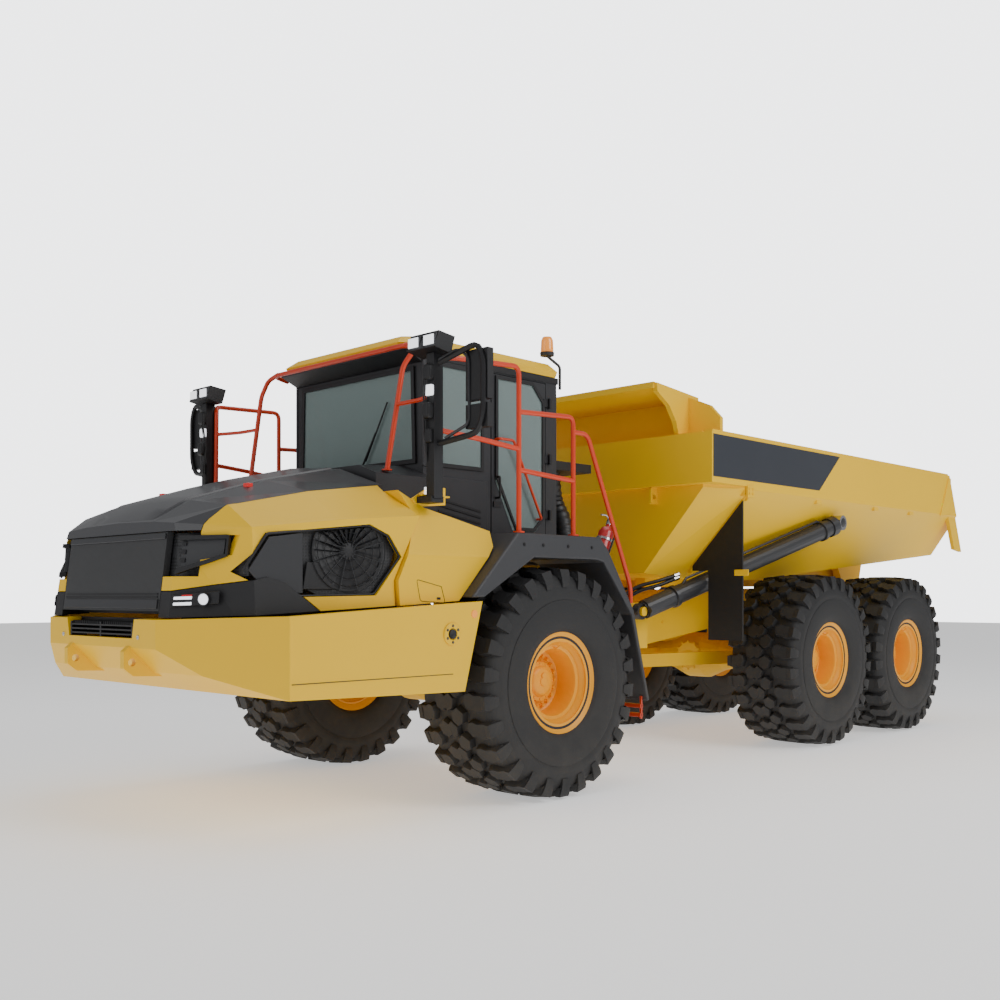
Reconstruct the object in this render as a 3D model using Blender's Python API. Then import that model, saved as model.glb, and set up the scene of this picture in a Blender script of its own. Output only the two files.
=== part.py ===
"""Articulated six-wheel dump truck, modelled as separate pieces on their real joints.

Machine frame: X forward from the front axle, Y to the left, Z up from the ground.
Each piece is drawn in that frame, then hung on the empty of the body it moves with,
and the machine empty shifts everything so that the origin is under the middle.
Names ending in _X, _Y or _Z are places, the others are sizes; all in metres.
"""
import math
from collections import namedtuple

import bmesh
import bpy
from mathutils import Matrix, Vector

# ---- Whole machine ---------------------------------------------------------------------------
FRONT_OVERHANG = 3.100       # front axle to the tow lugs
WHEELBASE = 4.451            # front axle to the first rear axle
BOGIE_SPACING = 1.940        # between the rear axles
REAR_OVERHANG = 1.660        # last axle to the tail of the body
TRACK = 2.636                # between tyre centres
TOUCH = 0.0003               # gap where two pieces rest on each other
RUN = 0.006                  # gap between pieces that move past each other

# ---- Wheels ----------------------------------------------------------------------------------
TYRE_RADIUS = 0.928
TYRE_WIDTH = 0.790
TREAD_WIDTH = 0.700
RIM_RADIUS = 0.411           # outside of the rim's lip
BEAD_RADIUS = 0.330          # seat of the tyre on the rim
RIM_WIDTH = 0.690
HUB_DEPTH = 0.035            # wheel disc, outboard of the tyre's middle
DRUM_RADIUS = 0.235          # hub drum that carries the wheel
ROUND = 28                   # facets of a wheel

# ---- Front frame -----------------------------------------------------------------------------
RAIL_Y = 0.460               # middle of a chassis rail
RAIL_WIDTH = 0.120
RAIL_BOTTOM_Z = 1.120
RAIL_TOP_Z = 1.400
RAIL_FRONT_X = 2.700
STEER_BACK = 1.277           # front axle to the steering pin
PIN_RADIUS = 0.060
PIN_RUN = 0.002              # play of a pin in its bore
EAR_RADIUS = 0.170
EAR_LOW_Z = 0.820
EAR_HIGH_Z = 1.580
EAR_THICK = 0.120
BLOCK_REAR_HALF = 0.260      # half width of the chassis where it narrows to the steering pin
ENGINE_LENGTH = 1.100
ENGINE_WIDTH = 0.720
ENGINE_HEIGHT = 0.750

# ---- Bumper ----------------------------------------------------------------------------------
BUMPER_FRONT_X = 3.054
BUMPER_NOSE_Y = 0.785        # half width of its front face
BUMPER_CREASE_X = 2.575
BUMPER_HALF = 1.610          # half width at its sides
BUMPER_REAR_X = 0.960
BUMPER_TOP_Z = 1.464         # at the front face
BUMPER_RISE = 0.054          # how fast its top climbs to the rear
BUMPER_LIP_Z = 1.270         # foot of the front face
BUMPER_BELLY_Z = 0.950
BUMPER_WALL = 0.070
STEP_HALF = 0.520            # step notch in its top edge
LUG_Y = 0.420

# ---- Hood ------------------------------------------------------------------------------------
SKIN = 0.045                 # thickness of hood, side and grille panels
SEAM = 0.006                 # gap between two panels
HOOD_REAR_X = 1.400
HOOD_HINGE_Z = 2.655
GRILLE_HALF = 0.710
GRILLE_TOP_Z = 2.050
GRILLE_LOW_Z = 1.520
# Cross sections of the engine bay: station x, then half outline (y, z) from its foot to its crown
BAY_SECTIONS = [
    (1.380, [(1.530, 1.300), (1.510, 2.200), (1.130, 2.450), (0.620, 2.610), (0.0, 2.650)]),
    (2.050, [(1.460, 1.300), (1.440, 2.140), (1.090, 2.360), (0.580, 2.470), (0.0, 2.500)]),
    (2.660, [(1.370, 1.300), (1.310, 2.070), (1.030, 2.230), (0.560, 2.290), (0.0, 2.310)]),
    (2.990, [(0.860, 1.300), (0.820, 2.030), (0.780, 2.110), (0.500, 2.130), (0.0, 2.140)]),
]
BAY_LEAN = 0.130             # how far the nose leans back for each metre of height

# ---- Cab -------------------------------------------------------------------------------------
CAB_FRONT_X = 0.750
CAB_REAR_X = -0.870
CAB_HALF = 0.850
CAB_FLOOR_Z = 1.900
CAB_EAVES_Z = 3.590
CAB_WALL = 0.060
ROOF_TOP_Z = 3.740
VISOR_REACH = 0.190          # roof ahead of the windshield
SILL_Z = 2.700               # foot of windshield and front side window
HEAD_Z = 3.490               # top of the windows
PILLAR_X = -0.020            # front edge of the door opening
DOOR_REAR_X = -0.725
DOOR_FOOT_Z = 2.125
DOOR_THICK = 0.050
GLASS = 0.006
COWL_FRONT_X = 1.360
BEACON_TOP_Z = 3.970

# ---- Fenders, mirrors and rails ----------------------------------------------------------------
FENDER_IN_Y = 0.900
FENDER_OUT_Y = 1.650
FENDER_TOP_Z = 2.110
FENDER_SKIRT = 0.190
TUBE = 0.020                 # radius of the orange rails
RAIL_SIDE_Y = 1.600
MIRROR_POST_X = 1.250
MIRROR_POST_Y = 1.530
MIRROR_REACH = 0.420         # mirror frame outboard of its post

# ---- Rear frame --------------------------------------------------------------------------------
FLANGE_X = -1.930            # oscillation flange between the hitch and the rear frame
FLANGE_RADIUS = 0.270
ROLL_Z = 1.200
BEAM_Y = 0.420
BEAM_WIDTH = 0.140
BEAM_TOP_Z = 1.690
BEAM_BOTTOM_Z = 1.260
AXLE_TUBE = 0.140

# ---- Dump body ---------------------------------------------------------------------------------
TIP_X = -7.040
TIP_Z = 1.620
BODY_HALF = 1.680
BODY_TOP_Z = 3.170
BODY_BAND_Z = 2.660          # foot of the upright side band
BODY_FRONT_X = -2.130
FLOOR_FRONT_HALF = 0.800
FLOOR_HALF = 0.880
FLOOR_TAIL_HALF = 1.250
FLOOR_Z = 1.800
FLOOR_TAIL_Z = 2.170
BODY_WALL = 0.080
TAIL_LEAN = 0.440            # how far the tail edge leans forward for each metre of height
CANOPY_HALF = 1.250
CANOPY_TOP_Z = 3.640
CANOPY_LIP_X = -1.800
FLAP_X = -2.770
FLAP_THICK = 0.020
FLAP_FOOT_Z = 1.180
FLAP_WING = 0.190            # how far the flap's upper part reaches inboard of its lower one

# ---- Cylinders ---------------------------------------------------------------------------------
TIP_FOOT = Vector((-2.050, 0.900, 1.470))    # lower pin of the left tipping cylinder
TIP_EYE = Vector((-4.750, 1.620, 2.430))     # its upper pin
TIP_BARREL_RADIUS = 0.095
TIP_ROD_RADIUS = 0.055
TIP_BARREL_LENGTH = 2.850
STEER_FOOT = Vector((-0.400, 0.675, 1.100))  # front pin of the left steering cylinder
STEER_EYE = Vector((-1.460, 0.250, 1.100))   # its rear pin, on the hitch
STEER_BARREL_RADIUS = 0.060
STEER_ROD_RADIUS = 0.032
STEER_PIN_RADIUS = 0.022
TIP_PIN_RADIUS = 0.045

# ---- Places worked out from the sizes above ------------------------------------------------------
AXLE_X = [0.0, -WHEELBASE, -WHEELBASE - BOGIE_SPACING]
TAIL_X = AXLE_X[2] - REAR_OVERHANG
ORIGIN_SHIFT = (FRONT_OVERHANG - TAIL_X) / 2 - FRONT_OVERHANG
TYRE_Y = TRACK / 2
STEER_X = -STEER_BACK
BOGIE_X = (AXLE_X[1] + AXLE_X[2]) / 2

Finish = namedtuple("Finish", "colour roughness metallic")
YELLOW = Finish((0.90, 0.50, 0.02), 0.35, 0.0)
CHARCOAL = Finish((0.045, 0.045, 0.050), 0.50, 0.0)
BLACK = Finish((0.012, 0.012, 0.013), 0.60, 0.0)
ORANGE = Finish((0.80, 0.10, 0.02), 0.40, 0.0)
RUBBER = Finish((0.020, 0.020, 0.021), 0.85, 0.0)
GLAZING = Finish((0.55, 0.68, 0.68), 0.05, 0.0)
STEEL = Finish((0.60, 0.60, 0.62), 0.25, 1.0)
IRON = Finish((0.08, 0.08, 0.085), 0.60, 0.3)
SEAT_CLOTH = Finish((0.05, 0.05, 0.055), 0.90, 0.0)
AMBER = Finish((0.95, 0.35, 0.03), 0.20, 0.0)

BODIES = {}


# ---- Modelling tools ---------------------------------------------------------------------------
def hold(bm, name="shape"):
    """Turn a bmesh into a scene object with its faces pointing out."""
    bmesh.ops.recalc_face_normals(bm, faces=bm.faces)
    mesh = bpy.data.meshes.new(name)
    bm.to_mesh(mesh)
    bm.free()
    shape = bpy.data.objects.new(name, mesh)
    bpy.context.scene.collection.objects.link(shape)
    return shape


def prism(outline, axis, low, high):
    """Extrude a flat outline along an axis; its points are the other two coordinates in XYZ order."""
    place = {"X": lambda a, b, c: (c, a, b), "Y": lambda a, b, c: (a, c, b), "Z": lambda a, b,
             c: (a, b, c)}[axis]
    bm = bmesh.new()
    ends = [[bm.verts.new(place(a, b, level)) for a, b in outline] for level in (low, high)]
    bm.faces.new(ends[0])
    bm.faces.new(ends[1])
    for i in range(len(outline)):
        j = (i + 1) % len(outline)
        bm.faces.new((ends[0][i], ends[0][j], ends[1][j], ends[1][i]))
    return hold(bm)


def box(x0, x1, y0, y1, z0, z1):
    """A block between two corners."""
    return prism([(x0, y0), (x1, y0), (x1, y1), (x0, y1)], "Z", z0, z1)


def loft(loops):
    """Join closed loops of equally many points, and cap the first and the last."""
    bm = bmesh.new()
    rings = [[bm.verts.new(point) for point in loop] for loop in loops]
    bm.faces.new(rings[0])
    bm.faces.new(rings[-1])
    for ring, following in zip(rings, rings[1:]):
        for i in range(len(ring)):
            j = (i + 1) % len(ring)
            bm.faces.new((ring[i], ring[j], following[j], following[i]))
    quads = [face for face in bm.faces if len(face.verts) == 4]
    bmesh.ops.triangulate(bm, faces=quads, quad_method="FIXED")
    return hold(bm)


def bar(start, end, radius, facets=16, end_radius=None):
    """A round bar, or a cone, between two points."""
    start, end = Vector(start), Vector(end)
    way = end - start
    turn = way.to_track_quat("Z", "Y").to_matrix().to_4x4()
    bm = bmesh.new()
    bmesh.ops.create_cone(bm, cap_ends=True, segments=facets, radius1=radius,
                          radius2=radius if end_radius is None else end_radius, depth=way.length,
                          matrix=Matrix.Translation((start + end) / 2) @ turn)
    return hold(bm)


def turned(profile, centre, facets=ROUND, closed=False):
    """Turn a profile of (y, radius) about the Y axis through centre; a flat stays at the bottom."""
    centre = Vector(centre)
    bm = bmesh.new()
    rings = []
    for y, radius in profile:
        if radius == 0:
            rings.append([bm.verts.new(centre + Vector((0, y, 0)))])
            continue
        reach = radius / math.cos(math.pi / facets)
        angles = [(i + 0.5) * math.tau / facets - math.pi / 2 for i in range(facets)]
        rings.append([bm.verts.new(centre + Vector((reach * math.cos(a), y,
                                                    reach * math.sin(a)))) for a in angles])
    pairs = list(zip(rings, rings[1:])) + ([(rings[-1], rings[0])] if closed else [])
    for ring, following in pairs:
        for i in range(facets):
            j = (i + 1) % facets
            corners = [ring[i % len(ring)], ring[j % len(ring)], following[j % len(following)],
                       following[i % len(following)]]
            bm.faces.new(list(dict.fromkeys(corners)))
    return hold(bm)


def eased(points, bend, steps=3):
    """A path with each inner corner rounded by an arc that starts bend before the corner."""
    points = [Vector(point) for point in points]
    path = [points[0]]
    for before, corner, after in zip(points, points[1:], points[2:]):
        first = corner + (before - corner).normalized() * bend
        last = corner + (after - corner).normalized() * bend
        for i in range(steps + 1):
            t = i / steps
            path.append(first.lerp(corner, t).lerp(corner.lerp(last, t), t))
    return path + [points[-1]]


def pipe(points, radius=TUBE, bend=0.08, resolution=1):
    """A round tube along a path with rounded corners, its ends closed."""
    path = eased(points, bend)
    curve = bpy.data.curves.new("pipe", "CURVE")
    curve.dimensions = "3D"
    curve.bevel_depth = radius
    curve.bevel_resolution = resolution
    curve.use_fill_caps = True
    spline = curve.splines.new("POLY")
    spline.points.add(len(path) - 1)
    for point, place in zip(spline.points, path):
        point.co = (*place, 1.0)
    guide = bpy.data.objects.new("pipe", curve)
    bpy.context.scene.collection.objects.link(guide)
    bpy.context.view_layer.update()
    mesh = bpy.data.meshes.new_from_object(guide.evaluated_get(bpy.context.evaluated_depsgraph_get()))
    bpy.data.objects.remove(guide)
    bm = bmesh.new()
    bm.from_mesh(mesh)
    bmesh.ops.remove_doubles(bm, verts=bm.verts, dist=1e-5)
    return hold(bm)


def combine(base, tools, operation):
    """Apply exact Booleans to base with each tool, which is used up."""
    for tool in tools:
        step = base.modifiers.new(operation, "BOOLEAN")
        step.operation = operation
        step.solver = "EXACT"
        step.object = tool
        bpy.context.view_layer.update()
        graph = bpy.context.evaluated_depsgraph_get()
        mesh = bpy.data.meshes.new_from_object(base.evaluated_get(graph))
        base.modifiers.clear()
        base.data = mesh
        bpy.data.objects.remove(tool)
    return base


def fuse(base, *others):
    return combine(base, others, "UNION")


def cut(base, *cutters):
    return combine(base, cutters, "DIFFERENCE")


def common(base, *others):
    return combine(base, others, "INTERSECT")


def mirrored(shape):
    """A copy of a shape on the other side of the machine."""
    mesh = shape.data.copy()
    mesh.transform(Matrix.Scale(-1, 4, (0, 1, 0)))
    mesh.flip_normals()
    copy = bpy.data.objects.new("shape", mesh)
    bpy.context.scene.collection.objects.link(copy)
    return copy


def both(shape):
    """The shape and its mirror image, as two cutters or two pieces of one node."""
    return shape, mirrored(shape)


def add_body(name, parent, pivot):
    """An empty on a joint, which carries the pieces that move with it."""
    empty = bpy.data.objects.new("body_" + name, None)
    bpy.context.scene.collection.objects.link(empty)
    empty.empty_display_size = 0.3
    BODIES[name] = (empty, Vector(pivot))
    if parent is None:
        empty.location = (ORIGIN_SHIFT, 0, 0)
        return
    holder, origin = BODIES[parent]
    empty.parent = holder
    empty.location = Vector(pivot) - origin


def place(name, shape, body, finish, smooth=False):
    """Name a finished shape, give it its material and hang it on its body."""
    empty, origin = BODIES[body]
    shape.name = name
    shape.data.name = name
    shape.data.transform(Matrix.Translation(-origin))
    shape.parent = empty
    material = bpy.data.materials.new(name)
    material.use_nodes = True
    shader = material.node_tree.nodes["Principled BSDF"]
    shader.inputs["Base Color"].default_value = (*finish.colour, 1.0)
    shader.inputs["Roughness"].default_value = finish.roughness
    shader.inputs["Metallic"].default_value = finish.metallic
    if finish is GLAZING:
        shader.inputs["Alpha"].default_value = 0.35
    material.diffuse_color = (*finish.colour, 1.0)
    shape.data.materials.clear()
    shape.data.materials.append(material)
    if smooth:
        shape.data.shade_smooth()
        shape.data.set_sharp_from_angle(angle=math.radians(35))
    return shape


# ---- Wheels --------------------------------------------------------------------------------------
def tyre_profile():
    """Closed half section of the tyre as (y, radius), bead to bead over the tread."""
    seat = BEAD_RADIUS + TOUCH
    inside = RIM_WIDTH / 2 - 0.020
    half = [(inside, seat), (inside, RIM_RADIUS + 0.012), (TYRE_WIDTH / 2 - 0.035, RIM_RADIUS + 0.050),
            (TYRE_WIDTH / 2, RIM_RADIUS + 0.250), (TREAD_WIDTH / 2, TYRE_RADIUS - 0.045),
            (TREAD_WIDTH / 2 - 0.050, TYRE_RADIUS)]
    return half + [(-y, radius) for y, radius in reversed(half)]


def rim_profile():
    """Profile of rim, disc and hub cap as (y, radius), from the hub's outside to its inside."""
    lip = RIM_WIDTH / 2
    seat = BEAD_RADIUS
    return [(0.150, 0), (0.150, 0.120), (0.110, 0.150), (HUB_DEPTH + 0.035, 0.165),
            (HUB_DEPTH + 0.035, 0.250),
            (0.120, 0.288), (lip - 0.060, 0.318), (lip, RIM_RADIUS - 0.020), (lip, RIM_RADIUS),
            (lip - 0.018, RIM_RADIUS), (lip - 0.018, seat), (-lip + 0.018, seat), (-lip + 0.018, RIM_RADIUS),
            (-lip, RIM_RADIUS), (-lip, RIM_RADIUS - 0.020), (-lip + 0.060, 0.292),
            (HUB_DEPTH - 0.020, 0.262),
            (HUB_DEPTH, 0.230), (HUB_DEPTH, 0)]


def build_wheels():
    for row, x in enumerate(AXLE_X):
        carrier = "front_frame" if row == 0 else "rear_frame"
        for side, sign in (("left", 1), ("right", -1)):
            centre = (x, sign * TYRE_Y, TYRE_RADIUS)
            name = f"wheel_{row + 1}_{side}"
            add_body(name, carrier, centre)
            rim = turned([(sign * y, radius) for y, radius in rim_profile()], centre)
            tyre = turned([(sign * y, radius) for y, radius in tyre_profile()], centre, closed=True)
            place(f"rim_{row + 1}_{side}", rim, name, YELLOW, smooth=True)
            place(f"tyre_{row + 1}_{side}", tyre, name, RUBBER, smooth=True)


def axle(x, banjo, tube):
    """Axle housing turned about its own line, from one hub drum to the other."""
    drum_end = TYRE_Y + HUB_DEPTH - RUN
    drum_start = TYRE_Y - RIM_WIDTH / 2 + 0.060
    half = [(0.130, banjo), (0.340, tube + 0.030), (0.500, tube), (drum_start - 0.080, tube),
            (drum_start, DRUM_RADIUS),
            (drum_end - 0.020, DRUM_RADIUS), (drum_end, DRUM_RADIUS - 0.020), (drum_end, 0)]
    return turned([(-y, radius) for y, radius in reversed(half)] + half, (x, 0, TYRE_RADIUS), facets=24)


# ---- Front frame ---------------------------------------------------------------------------------
def build_front_chassis():
    inner, outer = RAIL_Y - RAIL_WIDTH / 2, RAIL_Y + RAIL_WIDTH / 2
    block_front, block_rear = -0.560, STEER_X + 0.260
    half = [(block_rear, BLOCK_REAR_HALF), (block_front - 0.060, RAIL_Y), (block_front, RAIL_Y)]
    chassis = prism(half + [(x, -y) for x, y in reversed(half)], "Z", EAR_LOW_Z + 0.020, EAR_HIGH_Z - 0.020)
    chassis = cut(chassis, box(block_front - 0.160, block_front + 0.1, -inner, inner,
                               RAIL_BOTTOM_Z - 0.100, RAIL_TOP_Z - 0.060))
    for sign in (1, -1):
        rail = prism([(block_front - 0.010, RAIL_BOTTOM_Z), (RAIL_FRONT_X, RAIL_BOTTOM_Z),
                      (RAIL_FRONT_X, RAIL_TOP_Z - 0.060), (block_front - 0.010, RAIL_TOP_Z)],
                     "Y", sign * inner, sign * outer)
        chassis = fuse(chassis, rail)
        for post_x in (0.600, -0.700):
            post = box(post_x - 0.05, post_x + 0.05, sign * RAIL_Y - 0.05, sign * RAIL_Y + 0.05,
                       RAIL_TOP_Z - 0.050, CAB_FLOOR_Z - TOUCH)
            arm = box(post_x - 0.035, post_x + 0.035, *sorted((sign * RAIL_Y, sign * (FENDER_IN_Y - 0.003))),
                      CAB_FLOOR_Z - 0.034, CAB_FLOOR_Z - 0.004)
            hanger = box(post_x - 0.034, post_x + 0.034,
                         *sorted((sign * (CAB_HALF + 0.012), sign * (FENDER_IN_Y - 0.004))),
                         CAB_FLOOR_Z - 0.030, CAB_FLOOR_Z + 0.140)
            chassis = fuse(chassis, post, arm, hanger)
    chassis = fuse(chassis, box(RAIL_FRONT_X - 0.110, RAIL_FRONT_X - 0.010, -RAIL_Y, RAIL_Y,
                                RAIL_BOTTOM_Z + 0.010, RAIL_TOP_Z - 0.100))
    for low, high in ((EAR_LOW_Z, EAR_LOW_Z + EAR_THICK), (EAR_HIGH_Z - EAR_THICK, EAR_HIGH_Z)):
        chassis = fuse(chassis, box(STEER_X, block_rear + 0.030, -EAR_RADIUS + 0.010, EAR_RADIUS - 0.010,
                                    low, high),
                       bar((STEER_X, 0, low - 0.004), (STEER_X, 0, high + 0.004), EAR_RADIUS, 20))
    chassis = fuse(chassis, bar((STEER_X, 0, EAR_LOW_Z - 0.030), (STEER_X, 0, EAR_HIGH_Z + 0.030),
                                PIN_RADIUS, 16))
    foot = STEER_FOOT
    for level in (foot.z - 0.085, foot.z + 0.045):
        for sign in (1, -1):
            lug = box(foot.x - 0.070, foot.x + 0.070, *sorted((sign * (RAIL_Y - 0.02),
                                                               sign * (foot.y + 0.070))),
                      level, level + 0.040)
            chassis = fuse(chassis, lug)
    for sign in (1, -1):
        chassis = fuse(chassis, bar((foot.x, sign * foot.y, foot.z - 0.070),
                                    (foot.x, sign * foot.y, foot.z + 0.070),
                                    STEER_PIN_RADIUS, 12))
    place("front_chassis", chassis, "front_frame", YELLOW)


def build_engine():
    front = 2.200
    place("engine_block", box(front - ENGINE_LENGTH, front, -ENGINE_WIDTH / 2, ENGINE_WIDTH / 2,
                              RAIL_BOTTOM_Z + 0.080, RAIL_BOTTOM_Z + 0.080 + ENGINE_HEIGHT), "front_frame",
                              IRON)


def bumper_top(x):
    """Height of the bumper's top edge, which climbs to the rear."""
    return BUMPER_TOP_Z + (BUMPER_FRONT_X - x) * BUMPER_RISE


def bumper_plan(inset):
    """Plan outline of the bumper, set in by inset."""
    nose = BUMPER_FRONT_X - inset * 1.4
    half = [(nose, BUMPER_NOSE_Y - inset * 0.5), (BUMPER_CREASE_X - inset * 0.3, BUMPER_HALF - inset),
            (BUMPER_REAR_X - 0.3, BUMPER_HALF + 0.025 - inset)]
    return half + [(x, -y) for x, y in reversed(half)]


def bumper_side(rise):
    """Side outline of the bumper between its belly, raised by rise, and its top edge."""
    return [(BUMPER_FRONT_X + 0.1, BUMPER_LIP_Z + 0.099 + rise),
            (BUMPER_FRONT_X + 0.1, bumper_top(BUMPER_FRONT_X + 0.1)),
            (BUMPER_REAR_X - 0.100, bumper_top(BUMPER_REAR_X - 0.100)),
            (BUMPER_REAR_X + 0.080, BUMPER_BELLY_Z - 0.030 + rise),
            (BUMPER_CREASE_X, BUMPER_BELLY_Z + rise), (BUMPER_FRONT_X - 0.170, BUMPER_LIP_Z - 0.170 + rise)]


def build_bumper():
    bumper = common(prism(bumper_plan(0), "Z", 0.5, 2.0), prism(bumper_side(0), "Y", -2, 2))
    inside = bumper_side(0.045)
    inside[1] = (inside[1][0], 2.5)
    inside[2] = (BUMPER_REAR_X - 0.5, 2.5)
    inside[3] = (BUMPER_REAR_X - 0.5, inside[3][1])
    bumper = cut(bumper, common(prism(bumper_plan(BUMPER_WALL), "Z", 0.4, 2.1),
                                prism(inside, "Y", -1.9, 1.9)))
    notch_floor = BUMPER_TOP_Z - 0.130
    bumper = cut(bumper, prism([(-STEP_HALF, BUMPER_TOP_Z + 0.1), (-STEP_HALF + 0.050, notch_floor),
                                (STEP_HALF - 0.050, notch_floor), (STEP_HALF, BUMPER_TOP_Z + 0.1)],
                               "X", BUMPER_FRONT_X - 0.2, BUMPER_FRONT_X + 0.2))
    lug_side = [(FRONT_OVERHANG, 1.245), (FRONT_OVERHANG, 1.130), (FRONT_OVERHANG - 0.070, 1.075),
                (FRONT_OVERHANG - 0.300, 1.065), (FRONT_OVERHANG - 0.300, 1.300),
                (BUMPER_FRONT_X - 0.02, 1.300)]
    for sign in (1, -1):
        lug = prism(lug_side, "Y", sign * LUG_Y - 0.025, sign * LUG_Y + 0.025)
        hole = bar((FRONT_OVERHANG - 0.060, sign * LUG_Y - 0.1, 1.170),
                   (FRONT_OVERHANG - 0.060, sign * LUG_Y + 0.1, 1.170),
                   0.028, 12)
        bumper = fuse(bumper, cut(lug, hole))
    place("front_bumper", bumper, "front_frame", YELLOW)


# ---- Engine bay panels ---------------------------------------------------------------------------
def bay(inset, deeper=0.0):
    """The engine bay as one solid, its skin set in by inset; deeper lets it run past foot and rear."""
    loops = []
    for index, (x, half) in enumerate(BAY_SECTIONS):
        last = index == len(BAY_SECTIONS) - 1
        foot_y, foot_z = half[0]
        left = [(foot_y - inset, foot_z - deeper)] if deeper else []
        left += [(foot_y - inset, foot_z)] + [(y - inset, z - inset) for y, z in half[1:-1]]
        points = left + [(0.0, half[-1][1] - inset)] + [(-y, z) for y, z in reversed(left)]
        station = x - (inset if last else 0)
        lean = BAY_LEAN if last else 0
        loops.append([(station - lean * (z - GRILLE_LOW_Z), y, z) for y, z in points])
    if deeper:
        loops.insert(0, [(px - deeper, y, z) for px, y, z in loops[0]])
    return loft(loops)


def bay_shell(outer, inner):
    return cut(bay(outer), bay(inner, deeper=0.5))


def seam_y(x):
    """Half width of the dark hood top at station x, where it meets the yellow side panels."""
    stations = [(section[0], section[1][2][0]) for section in BAY_SECTIONS]
    for (x0, y0), (x1, y1) in zip(stations, stations[1:]):
        if x <= x1 or x1 == stations[-1][0]:
            return y0 + (y1 - y0) * (x - x0) / (x1 - x0)
    return stations[-1][1]


def hood_plan(grow):
    """Plan outline of the dark hood top, wider by grow on each side."""
    rear = HOOD_REAR_X + (SEAM if grow < 0 else -0.1)
    stations = [rear, 2.050, 2.600, 2.780]
    widths = [seam_y(x) + grow for x in stations[:-1]] + [0.985 + grow]
    half = list(zip(stations, widths)) + [(3.3, 0.960 + grow)]
    return half + [(x, -y) for x, y in reversed(half)]


HEXAGON = [(2.740, 1.780), (2.570, 2.035), (1.800, 2.120), (1.640, 2.050), (1.540, 1.900), (1.760, 1.625),
           (2.560, 1.610)]
POD = [(3.2, 2.015), (2.700, 2.020), (2.730, 1.890), (3.2, 1.760)]
GROOVE = [(HOOD_REAR_X + 0.050, 2.520), (HOOD_REAR_X + 0.060, 2.390), (HOOD_REAR_X - 0.020, 2.200),
          (HOOD_REAR_X + 0.210, 1.730), (HOOD_REAR_X + 0.200, 1.500)]


def waist(x, lift=0.010):
    return bumper_top(x) + lift


def lamp_outline(grow):
    """Side outline of the headlamp housings, grown on its upper edges."""
    return [(3.3, waist(3.3)), (3.3, 1.560 + grow), (3.02, 1.640 + grow), (2.560, 1.745 + grow),
            (2.440 - grow, 1.710 + grow), (2.200 - grow * 1.5, waist(2.2))]


def build_hood():
    hinge = (HOOD_REAR_X, 0, HOOD_HINGE_Z)
    add_body("hood", "front_frame", hinge)
    above = prism(hood_plan(-SEAM / 2), "Z", GRILLE_TOP_Z + SEAM, 3.0)
    hood = common(bay_shell(0, SKIN), above)
    place("hood_top", hood, "hood", CHARCOAL)

    side = cut(bay_shell(0, SKIN), prism(hood_plan(SEAM / 2), "Z", GRILLE_TOP_Z - 0.3, 3.0))
    rear = GROOVE + [(0.5, 1.3), (0.5, 2.6)]
    side = cut(side, prism(rear, "Y", -2, 2), box(2.3, 3.3, -GRILLE_HALF - SEAM, GRILLE_HALF + SEAM, 1, 2.5))
    side = cut(side, prism([(0.5, 1.0), (3.3, 1.0), (3.3, waist(3.3)), (0.5, waist(0.5))], "Y", -2, 2))
    side = cut(side, prism(lamp_outline(SEAM), "Y", -2, 2))
    side = cut(side, *both(prism(POD, "Y", 0.6, 2)))
    side = cut(side, *both(prism(HEXAGON, "Y", 0.6, 2)))
    left = common(side, box(0.5, 3.3, 0, 2, 1, 3))
    right = mirrored(left)
    place("side_panel_left", left, "hood", YELLOW)
    place("side_panel_right", right, "hood", YELLOW)

    liner = bay_shell(SKIN + 0.012, SKIN + 0.045)
    liner = common(liner, prism([(1.670, 1.620), (2.160, 1.620), (2.500, 1.780),
                                 (2.950, 1.700), (2.950, 2.040), (2.600, 2.055), (1.540, 2.150),
                                 (1.540, 2.000)], "Y", -2, 2))
    half = common(liner, box(0.5, 3.3, -0.002, 2, 1, 3))
    place("hood_liner", fuse(half, mirrored(half)), "hood", BLACK)


def build_grille():
    add_body("grille", "front_frame", (2.985, 0, GRILLE_LOW_Z + 0.010))
    nose = BAY_SECTIONS[-1][0]
    lean = BAY_LEAN * (GRILLE_TOP_Z - GRILLE_LOW_Z)
    panel = prism([(nose, GRILLE_LOW_Z), (nose - lean, GRILLE_TOP_Z), (nose - lean - SKIN, GRILLE_TOP_Z),
                   (nose - SKIN, GRILLE_LOW_Z)], "Y", -GRILLE_HALF, GRILLE_HALF)
    place("front_grille", panel, "grille", CHARCOAL)


def build_lamps():
    lamps = common(bay_shell(0, 0.200), prism(lamp_outline(0), "Y", -2, 2))
    middle = GRILLE_HALF + SEAM
    lamps = cut(lamps, box(2.0, 3.3, -middle, middle, 1, 3))
    bar_x = BAY_SECTIONS[-1][0] - 0.190
    lamps = fuse(lamps, box(bar_x, bar_x + 0.060, -middle - 0.060, middle + 0.060, waist(bar_x) + 0.010,
                            waist(bar_x) + 0.060))
    place("lamp_bar", lamps, "front_frame", BLACK)


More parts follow.
